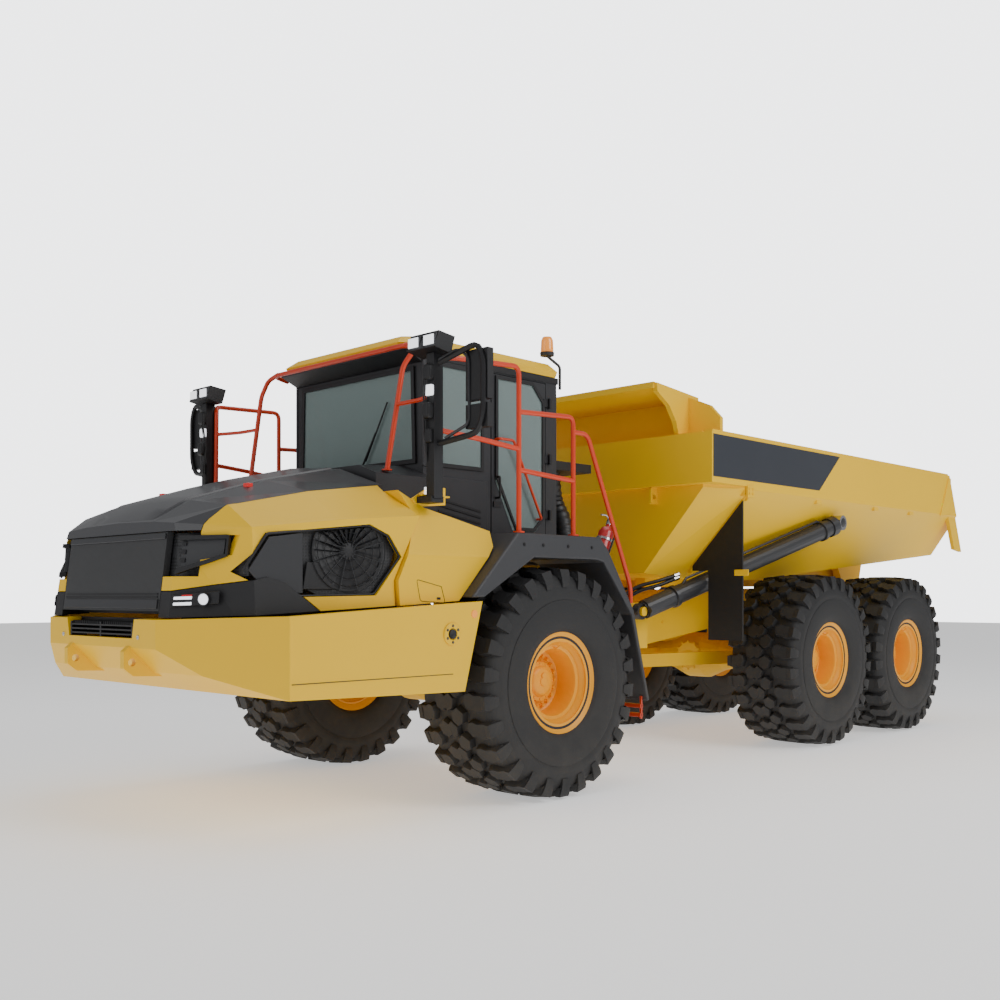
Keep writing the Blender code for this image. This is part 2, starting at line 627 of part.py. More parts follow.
def build_scuttle():
    """Yellow rear side panels behind the hood, joined by the firewall."""
    front = [(x - SEAM - 0.004, z) for x, z in GROOVE[1:-1]]
    foot = waist(front[-1][0])
    outline = front + [(front[-1][0] - 0.014, foot), (1.010, waist(1.010)), (0.620, 2.000), (0.620, 2.120),
                       (1.250, 2.270)]
    panel = prism(outline, "Y", 0.930, 1.535)
    panel = cut(panel, prism([(1.250, 2.6), (1.7, 2.6), (1.7, 1.9), (1.540, 1.9), (1.440, 2.210)], "X", 0.4,
                             1.8),
                box(HOOD_REAR_X - 0.050, 1.8, 0.8, 1.150, 2.300, 2.6))
    wall = box(1.030, 1.080, -0.960, 0.960, 1.560, 2.190)
    wall = cut(wall, box(0.9, 1.2, -RAIL_Y - 0.1, RAIL_Y + 0.1, 1.5, CAB_FLOOR_Z - 0.2))
    place("scuttle", fuse(wall, panel, mirrored(panel)), "front_frame", YELLOW)


# ---- Fenders -------------------------------------------------------------------------------------
def build_fenders():
    top = FENDER_TOP_Z
    outline = [(0.985, 1.610), (0.490, top), (-0.520, top), (-0.620, top - 0.100), (-0.975, 1.500),
               (-1.200, 0.710),
               (-1.170, 0.700), (-0.940, 1.460), (-0.560, top - FENDER_SKIRT - 0.020),
               (-0.470, top - FENDER_SKIRT),
               (0.300, top - FENDER_SKIRT), (0.850, 1.612)]
    left = prism(outline, "Y", FENDER_IN_Y, FENDER_OUT_Y)
    edge = left.modifiers.new("edge", "BEVEL")
    edge.width = 0.030
    edge.segments = 2
    edge.limit_method = "ANGLE"
    edge.angle_limit = math.radians(60)
    bpy.context.view_layer.update()
    graph = bpy.context.evaluated_depsgraph_get()
    softened = bpy.data.meshes.new_from_object(left.evaluated_get(graph))
    left.modifiers.clear()
    left.data = softened
    right = mirrored(left)
    place("fender_left", left, "front_frame", CHARCOAL)
    place("fender_right", right, "front_frame", CHARCOAL)


# ---- Cab -----------------------------------------------------------------------------------------
WINDSHIELD = [(-0.740, SILL_Z + 0.020), (0.740, SILL_Z + 0.020), (0.720, HEAD_Z - 0.040),
              (-0.720, HEAD_Z - 0.040)]
REAR_WINDOW = [(-0.600, 2.950), (0.600, 2.950), (0.600, HEAD_Z - 0.050), (-0.600, HEAD_Z - 0.050)]
SIDE_WINDOW = [(0.100, SILL_Z), (0.650, SILL_Z), (0.640, HEAD_Z), (0.100, HEAD_Z)]
DOOR_WINDOW = [(-0.310, 2.210), (-0.560, 2.210), (-0.660, 2.310), (-0.660, HEAD_Z - 0.140),
               (-0.540, HEAD_Z - 0.010),
               (-0.100, HEAD_Z - 0.010), (-0.100, 2.620)]


def grown(outline, reach):
    """An outline pushed out from its middle by reach along both axes."""
    middle = [sum(point[i] for point in outline) / len(outline) for i in (0, 1)]
    return [tuple(c + math.copysign(reach, c - m) for c, m in zip(point, middle)) for point in outline]


def build_cab():
    shell = box(CAB_REAR_X, CAB_FRONT_X, -CAB_HALF, CAB_HALF, CAB_FLOOR_Z, CAB_EAVES_Z)
    inside = box(CAB_REAR_X + CAB_WALL, CAB_FRONT_X - CAB_WALL, -CAB_HALF + CAB_WALL, CAB_HALF - CAB_WALL,
                 CAB_FLOOR_Z + CAB_WALL, CAB_EAVES_Z - CAB_WALL)
    cowl = prism([(CAB_FRONT_X - 0.030, 2.230), (CAB_FRONT_X - 0.030, SILL_Z - 0.015),
                  (COWL_FRONT_X - 0.02, 2.630),
                  (COWL_FRONT_X - 0.02, 2.360), (1.150, 2.320)], "Y", -CAB_HALF - 0.120, CAB_HALF + 0.120)
    slope = prism([(0.550, 2.8), (0.550, 2.705), (1.3, 2.44), (1.3, 2.8)], "X", 0.7, 1.6)
    shell = fuse(shell, cut(cowl, *both(slope)))
    shell = cut(shell, inside)
    shell = cut(shell, prism(WINDSHIELD, "X", CAB_FRONT_X - 0.1, CAB_FRONT_X + 0.1),
                prism(REAR_WINDOW, "X", CAB_REAR_X - 0.1, CAB_REAR_X + 0.1))
    shell = cut(shell, *both(prism(SIDE_WINDOW, "Y", CAB_HALF - 0.2, CAB_HALF + 0.1)))
    shell = cut(shell, prism(DOOR_WINDOW, "Y", -CAB_HALF - 0.1, -CAB_HALF + 0.2),
                box(DOOR_REAR_X, PILLAR_X, CAB_HALF - 0.2, CAB_HALF + 0.1, DOOR_FOOT_Z, CAB_EAVES_Z - 0.065))
    place("cab_frame", shell, "front_frame", CHARCOAL)

    place("windshield", prism(grown(WINDSHIELD, 0.020), "X", CAB_FRONT_X + TOUCH,
                              CAB_FRONT_X + TOUCH + GLASS),
          "front_frame", GLAZING)
    place("rear_window", prism(grown(REAR_WINDOW, 0.020), "X", CAB_REAR_X - TOUCH - GLASS,
                               CAB_REAR_X - TOUCH),
          "front_frame", GLAZING)
    outside = CAB_HALF + TOUCH
    place("side_window_left", prism(grown(SIDE_WINDOW, 0.020), "Y", outside, outside + GLASS),
          "front_frame", GLAZING)
    long_pane = [(-0.690, 2.180), (-0.280, 2.180), (-0.060, 2.600), (0.680, SILL_Z - 0.030),
                 (0.680, HEAD_Z + 0.030),
                 (-0.560, HEAD_Z + 0.030), (-0.690, HEAD_Z - 0.120)]
    place("side_window_right", prism(long_pane, "Y", -outside - GLASS, -outside), "front_frame", GLAZING)


def build_roof():
    front, rear = CAB_FRONT_X + VISOR_REACH, CAB_REAR_X - 0.100
    low, high = CAB_EAVES_Z + TOUCH, ROOF_TOP_Z
    layers = [(low, 0.020), (low + 0.050, 0.0), (high - 0.030, 0.060), (high, 0.200)]
    loops = []
    for z, inset in layers:
        half = CAB_HALF + 0.030 - inset
        x0, x1 = rear + inset, front - inset * 1.5
        corner = 0.120
        loops.append([(x0, half - corner, z), (x0, -half + corner, z), (x0 + corner, -half, z),
                      (x1 - corner, -half, z),
                      (x1, -half + corner, z), (x1, half - corner, z), (x1 - corner, half, z),
                      (x0 + corner, half, z)])
    place("cab_roof", loft(loops), "front_frame", YELLOW)


def build_door():
    hinge = (DOOR_REAR_X - 0.035, CAB_HALF + 0.020, 0)
    add_body("cab_door", "front_frame", hinge)
    gap = RUN
    door = box(DOOR_REAR_X + gap, PILLAR_X - 0.012, CAB_HALF - DOOR_THICK, CAB_HALF, DOOR_FOOT_Z + gap,
               CAB_EAVES_Z - 0.065 - gap)
    door = cut(door, prism(DOOR_WINDOW, "Y", CAB_HALF - 0.2, CAB_HALF + 0.1))
    place("cab_door", door, "cab_door", CHARCOAL)
    outside = CAB_HALF + TOUCH
    place("door_window", prism(grown(DOOR_WINDOW, 0.020), "Y", outside, outside + GLASS), "cab_door",
          GLAZING)


def build_interior():
    floor = CAB_FLOOR_Z + CAB_WALL + TOUCH
    inside = fuse(box(-0.500, 0.660, -0.400, 0.400, floor, floor + 0.030),
                  box(-0.380, 0.160, -0.200, 0.200, floor + 0.010, floor + 0.330),
                  box(-0.420, 0.200, -0.270, 0.270, floor + 0.310, floor + 0.460),
                  prism([(-0.300, floor + 0.420), (-0.400, floor + 0.430), (-0.540, floor + 1.080),
                         (-0.430, floor + 1.090)],
                        "Y", -0.250, 0.250),
                  prism([(-0.470, floor + 1.050), (-0.510, floor + 1.280), (-0.430, floor + 1.290),
                         (-0.390, floor + 1.050)],
                        "Y", -0.130, 0.130),
                  prism([(0.650, floor + 0.010), (0.650, floor + 0.700), (0.480, floor + 0.740),
                         (0.420, floor + 0.560),
                         (0.540, floor + 0.010)], "Y", -0.520, 0.520),
                  box(-0.300, 0.240, -0.600, -0.380, floor + 0.010, floor + 0.560))
    hub, tilt = wheel_axis()
    inside = fuse(inside, bar(hub - tilt * 0.32, hub - tilt * 0.024, 0.035, 12))
    place("cab_interior", inside, "front_frame", SEAT_CLOTH)

    add_body("steering_wheel", "front_frame", hub)
    turn = tilt.to_track_quat("Z", "Y").to_matrix()
    rim = [hub + turn @ Vector((0.200 * math.cos(a), 0.200 * math.sin(a), 0)) for a in
           [i * math.tau / 24 for i in range(24)]]
    wheel = ring_tube(rim, 0.016, tilt)
    spokes = [bar(hub, hub + turn @ Vector((0.196 * math.cos(a), 0.196 * math.sin(a), 0)), 0.014, 8)
              for a in (0.0, 2.2, -2.2)]
    wheel = fuse(wheel, *spokes, bar(hub - tilt * 0.018, hub + tilt * 0.022, 0.050, 16))
    place("steering_wheel", wheel, "steering_wheel", BLACK)


def wheel_axis():
    """Middle of the steering wheel and the way its axis points, up towards the seat."""
    return Vector((0.340, 0, CAB_FLOOR_Z + CAB_WALL + 0.800)), Vector((-0.420, 0, 0.907)).normalized()


def ring_tube(points, radius, normal, facets=8):
    """A closed round tube through a flat ring of points whose plane has the given normal."""
    middle = sum(points, Vector()) / len(points)
    bm = bmesh.new()
    rings = []
    for point in points:
        out = (point - middle).normalized()
        rings.append([bm.verts.new(point + radius * (math.cos(a) * out + math.sin(a) * normal))
                      for a in [i * math.tau / facets for i in range(facets)]])
    for ring, following in zip(rings, rings[1:] + rings[:1]):
        for i in range(facets):
            j = (i + 1) % facets
            bm.faces.new((ring[i], ring[j], following[j], following[i]))
    return hold(bm)


def build_beacon():
    x, y = CAB_REAR_X + 0.010, CAB_HALF - 0.050
    base = ROOF_TOP_Z - 0.130
    post = pipe([(x - 0.115, y, base - 0.100), (x - 0.115, y, base + 0.110), (x + 0.060, y, base + 0.180),
                 (x + 0.060, y, BEACON_TOP_Z - 0.130)], 0.014, 0.03)
    lamp = bar((x + 0.060, y, BEACON_TOP_Z - 0.150), (x + 0.060, y, BEACON_TOP_Z), 0.062, 20, 0.052)
    place("beacon", fuse(post, lamp), "front_frame", AMBER)


def build_air_intake():
    """Dark service deck, mesh housing and intake duct behind the cab."""
    rear = CAB_REAR_X - 0.020
    deck = box(rear - 0.560, rear, -0.780, 0.780, 2.780, 2.860)
    housing = prism([(rear - 0.010, 2.820), (rear - 0.010, 3.420), (rear - 0.100, 3.420),
                     (rear - 0.330, 2.820)],
                    "Y", -0.700, 0.200)
    duct = pipe([(rear - 0.300, 0.500, 2.800), (rear - 0.300, 0.500, 2.450), (rear - 0.300, 0.700, 2.150),
                 (rear - 0.200, 0.700, 1.900)], 0.090, 0.12, 2)
    legs = [box(rear - 0.140, rear - 0.060, y - 0.040, y + 0.040, EAR_HIGH_Z - 0.015,
                2.800) for y in (-0.440, 0.440)]
    place("air_intake", fuse(deck, housing, duct, *legs), "front_frame", BLACK)


def build_mirrors():
    x, y = MIRROR_POST_X, MIRROR_POST_Y
    post = box(x - 0.045, x + 0.045, y - 0.040, y + 0.040, 2.330, 3.380)
    foot = box(x - 0.060, x + 0.060, y - 0.130, y + 0.030, 2.300, 2.345)
    lamps = prism([(x - 0.040, 3.370), (x + 0.120, 3.400), (x + 0.080, 3.520), (x - 0.080, 3.500)], "Y",
                  y - 0.170, y + 0.130)
    out = y + MIRROR_REACH
    frame = pipe([(x, y, 3.300), (x - 0.080, out - 0.060, 3.420), (x - 0.080, out, 3.300),
                  (x - 0.080, out, 2.900),
                  (x - 0.080, out - 0.060, 2.780), (x, y, 2.720)], 0.022, 0.06)
    upper = box(x - 0.150, x - 0.090, out - 0.190, out + 0.030, 3.020, 3.380)
    lower = box(x - 0.150, x - 0.090, out - 0.190, out + 0.030, 2.820, 2.990)
    left = fuse(post, foot, lamps, frame, upper, lower)
    right = mirrored(left)
    place("mirror_left", left, "front_frame", BLACK)
    place("mirror_right", right, "front_frame", BLACK)


def build_rails():
    visor_x = CAB_FRONT_X + VISOR_REACH + 0.030
    visor = pipe([(CAB_FRONT_X + 0.060, CAB_HALF + 0.060, 3.560), (visor_x, CAB_HALF + 0.060, 3.590),
                  (visor_x, -CAB_HALF - 0.060, 3.590), (CAB_FRONT_X + 0.060, -CAB_HALF - 0.060, 3.560)])
    for sign in (1, -1):
        leg = pipe([(1.200, sign * 0.935, 2.582), (1.060, sign * 0.960, 3.400), (0.960, sign * 1.000, 3.560),
                    (0.950, sign * 0.860, 3.600)], bend=0.05)
        visor = fuse(visor, leg)
    place("front_rail", visor, "front_frame", ORANGE)
    y, deck = RAIL_SIDE_Y, FENDER_TOP_Z + TOUCH
    rail = pipe([(0.430, y, deck), (0.430, y, 3.400), (0.700, y - 0.100, 3.420)])
    rail = fuse(rail, pipe([(0.430, y, 3.050), (-0.220, y, 3.080), (-0.220, y, deck)]),
                pipe([(0.430, y, 2.600), (-0.220, y, 2.560)], bend=0.01),
                pipe([(-0.220, y, 2.960), (-0.400, y, 2.960), (-0.985, y, 1.700), (-0.985, y, 1.560)],
                     bend=0.06))
    right = mirrored(rail)
    place("side_rail_left", rail, "front_frame", ORANGE)
    place("side_rail_right", right, "front_frame", ORANGE)


# ---- Hitch and rear frame ------------------------------------------------------------------------
def build_hitch():
    add_body("hitch", "front_frame", (STEER_X, 0, ROLL_Z))
    low, high = EAR_LOW_Z + EAR_THICK + RUN + 0.004, EAR_HIGH_Z - EAR_THICK - RUN - 0.004
    hitch = fuse(bar((STEER_X, 0, low), (STEER_X, 0, high), EAR_RADIUS - 0.010, 20),
                 bar((STEER_X - 0.050, 0, ROLL_Z), (FLANGE_X + 0.060, 0, ROLL_Z), 0.190, 20),
                 bar((FLANGE_X + 0.090, 0, ROLL_Z), (FLANGE_X, 0, ROLL_Z), FLANGE_RADIUS, 24))
    eye = STEER_EYE
    for level in (eye.z - 0.085, eye.z + 0.045):
        hitch = fuse(hitch, box(eye.x - 0.070, eye.x + 0.070, -eye.y - 0.130, eye.y + 0.130, level,
                                level + 0.040))
    hitch = cut(hitch, bar((STEER_X, 0, low - 0.1), (STEER_X, 0, high + 0.1), PIN_RADIUS + PIN_RUN, 16))
    place("hitch", hitch, "hitch", YELLOW)


def build_rear_frame():
    add_body("rear_frame", "hitch", (FLANGE_X, 0, ROLL_Z))
    inner, outer = BEAM_Y - BEAM_WIDTH / 2, BEAM_Y + BEAM_WIDTH / 2
    front = FLANGE_X - 0.120
    side = [(front, 1.060), (front, 1.520), (-2.650, 1.560), (-3.600, BEAM_TOP_Z),
            (TIP_X - 0.050, BEAM_TOP_Z + 0.040),
            (TIP_X - 0.130, TIP_Z), (TIP_X - 0.050, TIP_Z - 0.120), (-6.750, 1.440), (-6.500, BEAM_BOTTOM_Z),
            (-3.900, BEAM_BOTTOM_Z), (-2.750, 1.120)]
    frame = prism(side, "Y", inner, outer)
    frame = fuse(frame, mirrored(frame))
    frame = fuse(frame, box(front - 0.300, front - 0.001, -outer + 0.010, outer - 0.010, 1.050, 1.500),
                 bar((FLANGE_X - RUN, 0, ROLL_Z), (front - 0.020, 0, ROLL_Z), FLANGE_RADIUS, 24))
    for x, half_length in ((-3.500, 0.080), (BOGIE_X, 0.120), (-6.850, 0.060)):
        frame = fuse(frame, box(x - half_length, x + half_length, -BEAM_Y, BEAM_Y, BEAM_TOP_Z - 0.230,
                                BEAM_TOP_Z - 0.050))
    frame = fuse(frame, bar((TIP_X, -0.660, TIP_Z), (TIP_X, 0.660, TIP_Z), PIN_RADIUS, 16))
    frame = fuse(frame, bar((BOGIE_X, -WALKER_Y - 0.090, BOGIE_PIN_Z),
                            (BOGIE_X, WALKER_Y + 0.090, BOGIE_PIN_Z), 0.080, 16),
                 *both(box(BOGIE_X - 0.110, BOGIE_X + 0.110, inner + 0.010, outer - 0.010,
                           BOGIE_PIN_Z - 0.100, BEAM_BOTTOM_Z + 0.02)))
    foot = TIP_FOOT
    for sign in (1, -1):
        arm = prism([(front - 0.010, 1.100), (front - 0.260, 1.100), (front - 0.260, 1.440),
                     (foot.x + 0.080, foot.z + 0.080),
                     (foot.x + 0.085, foot.z - 0.080), (foot.x, foot.z - 0.110)], "Y",
                    sign * (foot.y - 0.150), sign * (foot.y - 0.100))
        web = box(front - 0.255, front - 0.050, *sorted((sign * (outer - 0.03), sign * (foot.y - 0.110))),
                  1.110, 1.420)
        pin = bar((foot.x, sign * (foot.y - 0.140), foot.z), (foot.x, sign * (foot.y + 0.060), foot.z),
                  TIP_PIN_RADIUS, 14)
        frame = fuse(frame, arm, web, pin)
    place("rear_frame", frame, "rear_frame", YELLOW)


BOGIE_PIN_Z = 0.980
WALKER_WIDTH = 0.110
WALKER_GAP = 0.108           # between a bogie beam and the tyre beside it
WALKER_Y = TYRE_Y - TYRE_WIDTH / 2 - WALKER_GAP - WALKER_WIDTH / 2


def build_bogie():
    first = axle(AXLE_X[1], 0.260, AXLE_TUBE)
    for sign in (1, -1):
        leg = prism([(AXLE_X[1] + 0.020, sign * 0.560), (AXLE_X[1] + 0.020, sign * 0.640),
                     (-2.420, sign * 0.200),
                     (-2.420, sign * 0.060)], "Z", TYRE_RADIUS - 0.070, TYRE_RADIUS + 0.070)
        first = fuse(first, leg)
    place("rear_axle_1", first, "rear_frame", YELLOW)
    place("rear_axle_2", axle(AXLE_X[2], 0.260, AXLE_TUBE), "rear_frame", YELLOW)
    reach = AXLE_TUBE + 0.060
    outline = []
    for x, start in ((AXLE_X[1], -60), (AXLE_X[2], 120)):
        outline += [(x + reach * math.cos(math.radians(start + i * 30)),
                     TYRE_RADIUS + reach * math.sin(math.radians(start + i * 30)))
                    for i in range(6)]
        middle = 0.150 if start < 0 else -0.150
        outline.append((BOGIE_X + middle, BOGIE_PIN_Z + (0.170 if start < 0 else -0.170)))
    for side, sign in (("left", 1), ("right", -1)):
        low, high = sorted((sign * (WALKER_Y - WALKER_WIDTH / 2), sign * (WALKER_Y + WALKER_WIDTH / 2)))
        beam = prism(outline, "Y", low, high)
        beam = cut(beam, *[bar((x, low - 0.1, TYRE_RADIUS), (x, high + 0.1, TYRE_RADIUS), AXLE_TUBE * 1.06,
                               24)
                           for x in AXLE_X[1:]],
                   bar((BOGIE_X, low - 0.1, BOGIE_PIN_Z), (BOGIE_X, high + 0.1, BOGIE_PIN_Z), 0.083, 16))
        place(f"bogie_beam_{side}", beam, "rear_frame", YELLOW)


# ---- Dump body -----------------------------------------------------------------------------------
def tail_x(z):
    """The tail leans: it reaches further back towards the floor."""
    return TAIL_X + (z - FLOOR_TAIL_Z) * TAIL_LEAN


def body_loop(x, half, floor, shrink=0.0, slanted=False, open_top=False, band_half=BODY_HALF):
    """One cross section of the body: floor, slanted sides and upright side bands."""
    top = BODY_TOP_Z + (0.5 if open_top else 0.0)
    right = [(band_half - shrink, top), (band_half - shrink, BODY_BAND_Z + shrink * 0.35),
             (half - shrink * 0.4, floor + shrink)]
    points = [(-y, z) for y, z in right] + list(reversed(right))
    if slanted:
        return [(tail_x(z), y, z) for y, z in points]
    return [(x, y, z) for y, z in points]


def side_z(y):
    """Height of the slanted side of the body, outside, at half width y."""
    return FLOOR_Z + (y - FLOOR_HALF) * (BODY_BAND_Z - FLOOR_Z) / (BODY_HALF - FLOOR_HALF)


def build_body():
    add_body("dump_body", "rear_frame", (TIP_X, 0, TIP_Z))
    knee = -WHEELBASE + 0.250
    shoulder = BODY_FRONT_X - 0.670
    body = loft([body_loop(BODY_FRONT_X - 0.120, FLOOR_FRONT_HALF, FLOOR_Z + 0.050, band_half=1.500),
                 body_loop(shoulder, FLOOR_HALF, FLOOR_Z), body_loop(knee, FLOOR_HALF, FLOOR_Z),
                 body_loop(TAIL_X, FLOOR_TAIL_HALF, FLOOR_TAIL_Z, slanted=True)])
    band = box(shoulder - 0.100, BODY_FRONT_X, -BODY_HALF, BODY_HALF, BODY_BAND_Z + 0.030,
               BODY_TOP_Z - 0.001)
    wall = BODY_WALL
    inside = loft([body_loop(BODY_FRONT_X - 0.150 - wall, FLOOR_FRONT_HALF, FLOOR_Z + 0.060, wall,
                             open_top=True, band_half=1.480),
                   body_loop(shoulder + 0.020, FLOOR_HALF, FLOOR_Z, wall, open_top=True),
                   body_loop(knee, FLOOR_HALF, FLOOR_Z, wall, open_top=True),
                   body_loop(TAIL_X - 0.5, FLOOR_TAIL_HALF, FLOOR_TAIL_Z + 0.045, wall, open_top=True)])
    body = cut(fuse(body, band), inside)

    rear = BODY_FRONT_X - 0.380
    hood = prism([(CANOPY_LIP_X, CANOPY_TOP_Z), (rear, CANOPY_TOP_Z - 0.060), (rear, BODY_TOP_Z - 0.060),
                  (rear + 0.060, BODY_TOP_Z - 0.060), (rear + 0.060, CANOPY_TOP_Z - 0.110),
                  (CANOPY_LIP_X + 0.010, CANOPY_TOP_Z - 0.060)], "Y", -CANOPY_HALF, CANOPY_HALF)
    ledge = box(rear + 0.002, BODY_FRONT_X - 0.030, -CANOPY_HALF - 0.3, CANOPY_HALF + 0.3,
                BODY_TOP_Z - 0.070, BODY_TOP_Z + 0.010)
    body = fuse(body, ledge, hood)
    for sign in (1, -1):
        gusset = prism([(CANOPY_LIP_X - 0.010, CANOPY_TOP_Z - 0.010),
                        (CANOPY_LIP_X - 0.020, CANOPY_TOP_Z - 0.090),
                        (-2.010, 3.440), (-2.120, 3.300), (BODY_FRONT_X - 0.050, BODY_TOP_Z - 0.030),
                        (rear + 0.010, BODY_TOP_Z - 0.040), (rear + 0.010, CANOPY_TOP_Z - 0.070)], "Y",
                       sign * (CANOPY_HALF - 0.020), sign * (CANOPY_HALF + 0.030))
        wing = prism([(sign * (CANOPY_HALF + 0.010), BODY_TOP_Z - 0.030),
                      (sign * (CANOPY_HALF + 0.010), CANOPY_TOP_Z - 0.080),
                      (sign * 1.520, 3.450), (sign * 1.640, 3.320), (sign * 1.640, BODY_TOP_Z - 0.030)], "X",
                     rear + 0.130, rear + 0.180)
        body = fuse(body, gusset, wing)
        sill = prism([(-2.700, BEAM_TOP_Z + 0.030), (-2.700, FLOOR_Z + 0.030), (-4.300, FLOOR_Z + 0.030),
                      (-7.250, 2.120), (-7.250, 1.900), (-6.800, BEAM_TOP_Z + 0.060),
                      (-3.600, BEAM_TOP_Z + 0.030)], "Y",
                     sign * (BEAM_Y - 0.060), sign * (BEAM_Y + 0.060))
        hanger = prism([(TIP_X + 0.450, 2.080), (TIP_X - 0.300, 2.120), (TIP_X - 0.120, TIP_Z - 0.040),
                        (TIP_X - 0.050, TIP_Z - 0.125), (TIP_X + 0.050, TIP_Z - 0.125),
                        (TIP_X + 0.120, TIP_Z - 0.040)], "Y",
                       sign * 0.530, sign * 0.620)
        bore = bar((TIP_X, sign * 0.5, TIP_Z), (TIP_X, sign * 0.7, TIP_Z), PIN_RADIUS + PIN_RUN, 16)
        bracket = prism([(TIP_EYE.x + 0.025, TIP_EYE.z - 0.120), (TIP_EYE.x - 0.110, TIP_EYE.z - 0.120),
                         (TIP_EYE.x - 0.090, TIP_EYE.z + 0.080), (TIP_EYE.x + 0.025, TIP_EYE.z + 0.080)],
                         "Y",
                        sign * (TIP_EYE.y - 0.220), sign * (TIP_EYE.y - 0.085))
        hook = box(-2.830, -2.730, *sorted((sign * 1.560, sign * 1.660)), BODY_BAND_Z - 0.060,
                   BODY_BAND_Z + 0.040)
        body = fuse(body, sill, cut(hanger, bore), bracket, hook)
    place("dump_body", body, "dump_body", YELLOW)

    flap_out = BODY_HALF - 0.070
    flap_in = TIP_FOOT.y + 0.220 + TIP_BARREL_RADIUS
    wing_in = flap_in - FLAP_WING
    step = side_z(wing_in) - 0.080
    flap = prism([(flap_in, FLAP_FOOT_Z), (flap_out, FLAP_FOOT_Z), (flap_out, side_z(flap_out) - 0.030),
                  (wing_in, side_z(wing_in) - 0.030), (wing_in, step), (flap_in, step)], "X",
                 FLAP_X - FLAP_THICK, FLAP_X)
    right_flap = mirrored(flap)
    place("mud_flap_left", flap, "dump_body", RUBBER)
    place("mud_flap_right", right_flap, "dump_body", RUBBER)


# ---- Cylinders -----------------------------------------------------------------------------------
def cylinder_pair(name, foot, eye, radii, barrel_length, rod_start, carrier, across, neck, boss):
    """Barrel on its foot pin and rod on its eye, for both sides; across is the pins' direction.

    radii are those of barrel, rod and foot pin, neck is the radius and length of the barrel's
    foot, rod_start how far up the rod begins, and boss how far its eye reaches along its pin
    towards the middle of the machine and away from it.
    """
    barrel_radius, rod_radius, pin_radius = radii
    for side, sign in (("left", 1), ("right", -1)):
        start = Vector((foot.x, sign * foot.y, foot.z))
        end = Vector((eye.x, sign * eye.y, eye.z))
        way = (end - start).normalized()
        pin = Vector(across)
        barrel_body, rod_body = f"{name}_barrel_{side}", f"{name}_rod_{side}"
        add_body(barrel_body, carrier, start)
        add_body(rod_body, barrel_body, start)
        mouth = start + way * barrel_length
        eye_radius = barrel_radius * 0.85
        neck_radius, neck_length = neck
        barrel = fuse(bar(start + way * neck_length, mouth, barrel_radius, 20),
                      bar(start + way * eye_radius * 0.5, start + way * (neck_length + 0.010), neck_radius,
                          16),
                      bar(start - pin * 0.036, start + pin * 0.036, eye_radius, 16),
                      bar(mouth - way * 0.090, mouth + way * 0.004, barrel_radius * 1.14, 20))
        barrel = cut(barrel, bar(start + way * (neck_length + 0.020), mouth + way * 0.1, rod_radius + 0.003,
                                 16),
                     bar(start - pin * 0.2, start + pin * 0.2, pin_radius * 1.1 + 0.003, 14))
        inboard, outboard = boss
        facing = pin * (sign if abs(pin.y) > 0.5 else 1)
        rod = fuse(bar(start + way * rod_start, end - way * rod_radius * 0.5, rod_radius, 16),
                   bar(end - facing * inboard, end + facing * outboard, rod_radius * 1.5, 16))
        place(barrel_body, barrel, barrel_body, CHARCOAL, smooth=True)
        place(rod_body, rod, rod_body, STEEL, smooth=True)


def main():
    for old in list(bpy.data.objects):
        bpy.data.objects.remove(old)
    add_body("front_frame", None, (0, 0, 0))
    build_front_chassis()
    build_engine()
    place("front_axle", axle(AXLE_X[0], 0.240, AXLE_TUBE), "front_frame", YELLOW)
    build_bumper()
    build_hood()
    build_grille()
    build_lamps()
    build_scuttle()
    build_fenders()
    build_cab()
    build_roof()
    build_door()
    build_interior()
    build_beacon()
    build_air_intake()
    build_mirrors()
    build_rails()
    build_hitch()
    build_rear_frame()
    build_bogie()
    build_body()
    cylinder_pair("tip", TIP_FOOT, TIP_EYE, (TIP_BARREL_RADIUS, TIP_ROD_RADIUS, TIP_PIN_RADIUS),
                  TIP_BARREL_LENGTH, 0.088, "rear_frame", (0, 1, 0), neck=(0.080, 0.060),
                  boss=(0.070, 0.045))
    cylinder_pair("steer", STEER_FOOT, STEER_EYE, (STEER_BARREL_RADIUS, STEER_ROD_RADIUS, STEER_PIN_RADIUS),
                  0.720, 0.365, "front_frame", (0, 0, 1), neck=(0.034, 0.120), boss=(0.036, 0.036))
    build_wheels()


main()
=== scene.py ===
"""Finished look of the articulated dump truck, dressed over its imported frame.

Machine frame of the sizes below: x forward from the front axle, y to the left, z up
from the ground, in metres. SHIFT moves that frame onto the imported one.
"""
import logging
import math
from dataclasses import dataclass, field
from enum import Enum

import bmesh
import bpy
import numpy as np
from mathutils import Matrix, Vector


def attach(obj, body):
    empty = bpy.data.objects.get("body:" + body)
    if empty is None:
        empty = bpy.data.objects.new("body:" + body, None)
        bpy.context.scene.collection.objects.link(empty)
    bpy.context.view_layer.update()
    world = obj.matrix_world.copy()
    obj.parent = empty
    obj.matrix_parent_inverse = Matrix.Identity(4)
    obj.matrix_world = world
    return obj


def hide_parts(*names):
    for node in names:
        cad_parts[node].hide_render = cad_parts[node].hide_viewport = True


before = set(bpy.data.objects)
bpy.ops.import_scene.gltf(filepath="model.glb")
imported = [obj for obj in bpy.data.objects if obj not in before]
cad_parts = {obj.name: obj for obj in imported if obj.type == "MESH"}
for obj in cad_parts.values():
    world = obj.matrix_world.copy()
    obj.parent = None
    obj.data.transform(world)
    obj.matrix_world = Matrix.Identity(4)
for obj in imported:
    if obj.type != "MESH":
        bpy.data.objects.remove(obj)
LOG = logging.getLogger("dump_truck")
SHIFT = np.array([2.4755, 0.0, 0.0])
AXLES_X = (0.0, -4.451, -6.391)
ORIGIN = (0.0, 0.0, 0.0)
AXLE_Z = 0.928
WHEEL_Y = 1.318
WELD = 2e-5            # points closer than this are made one
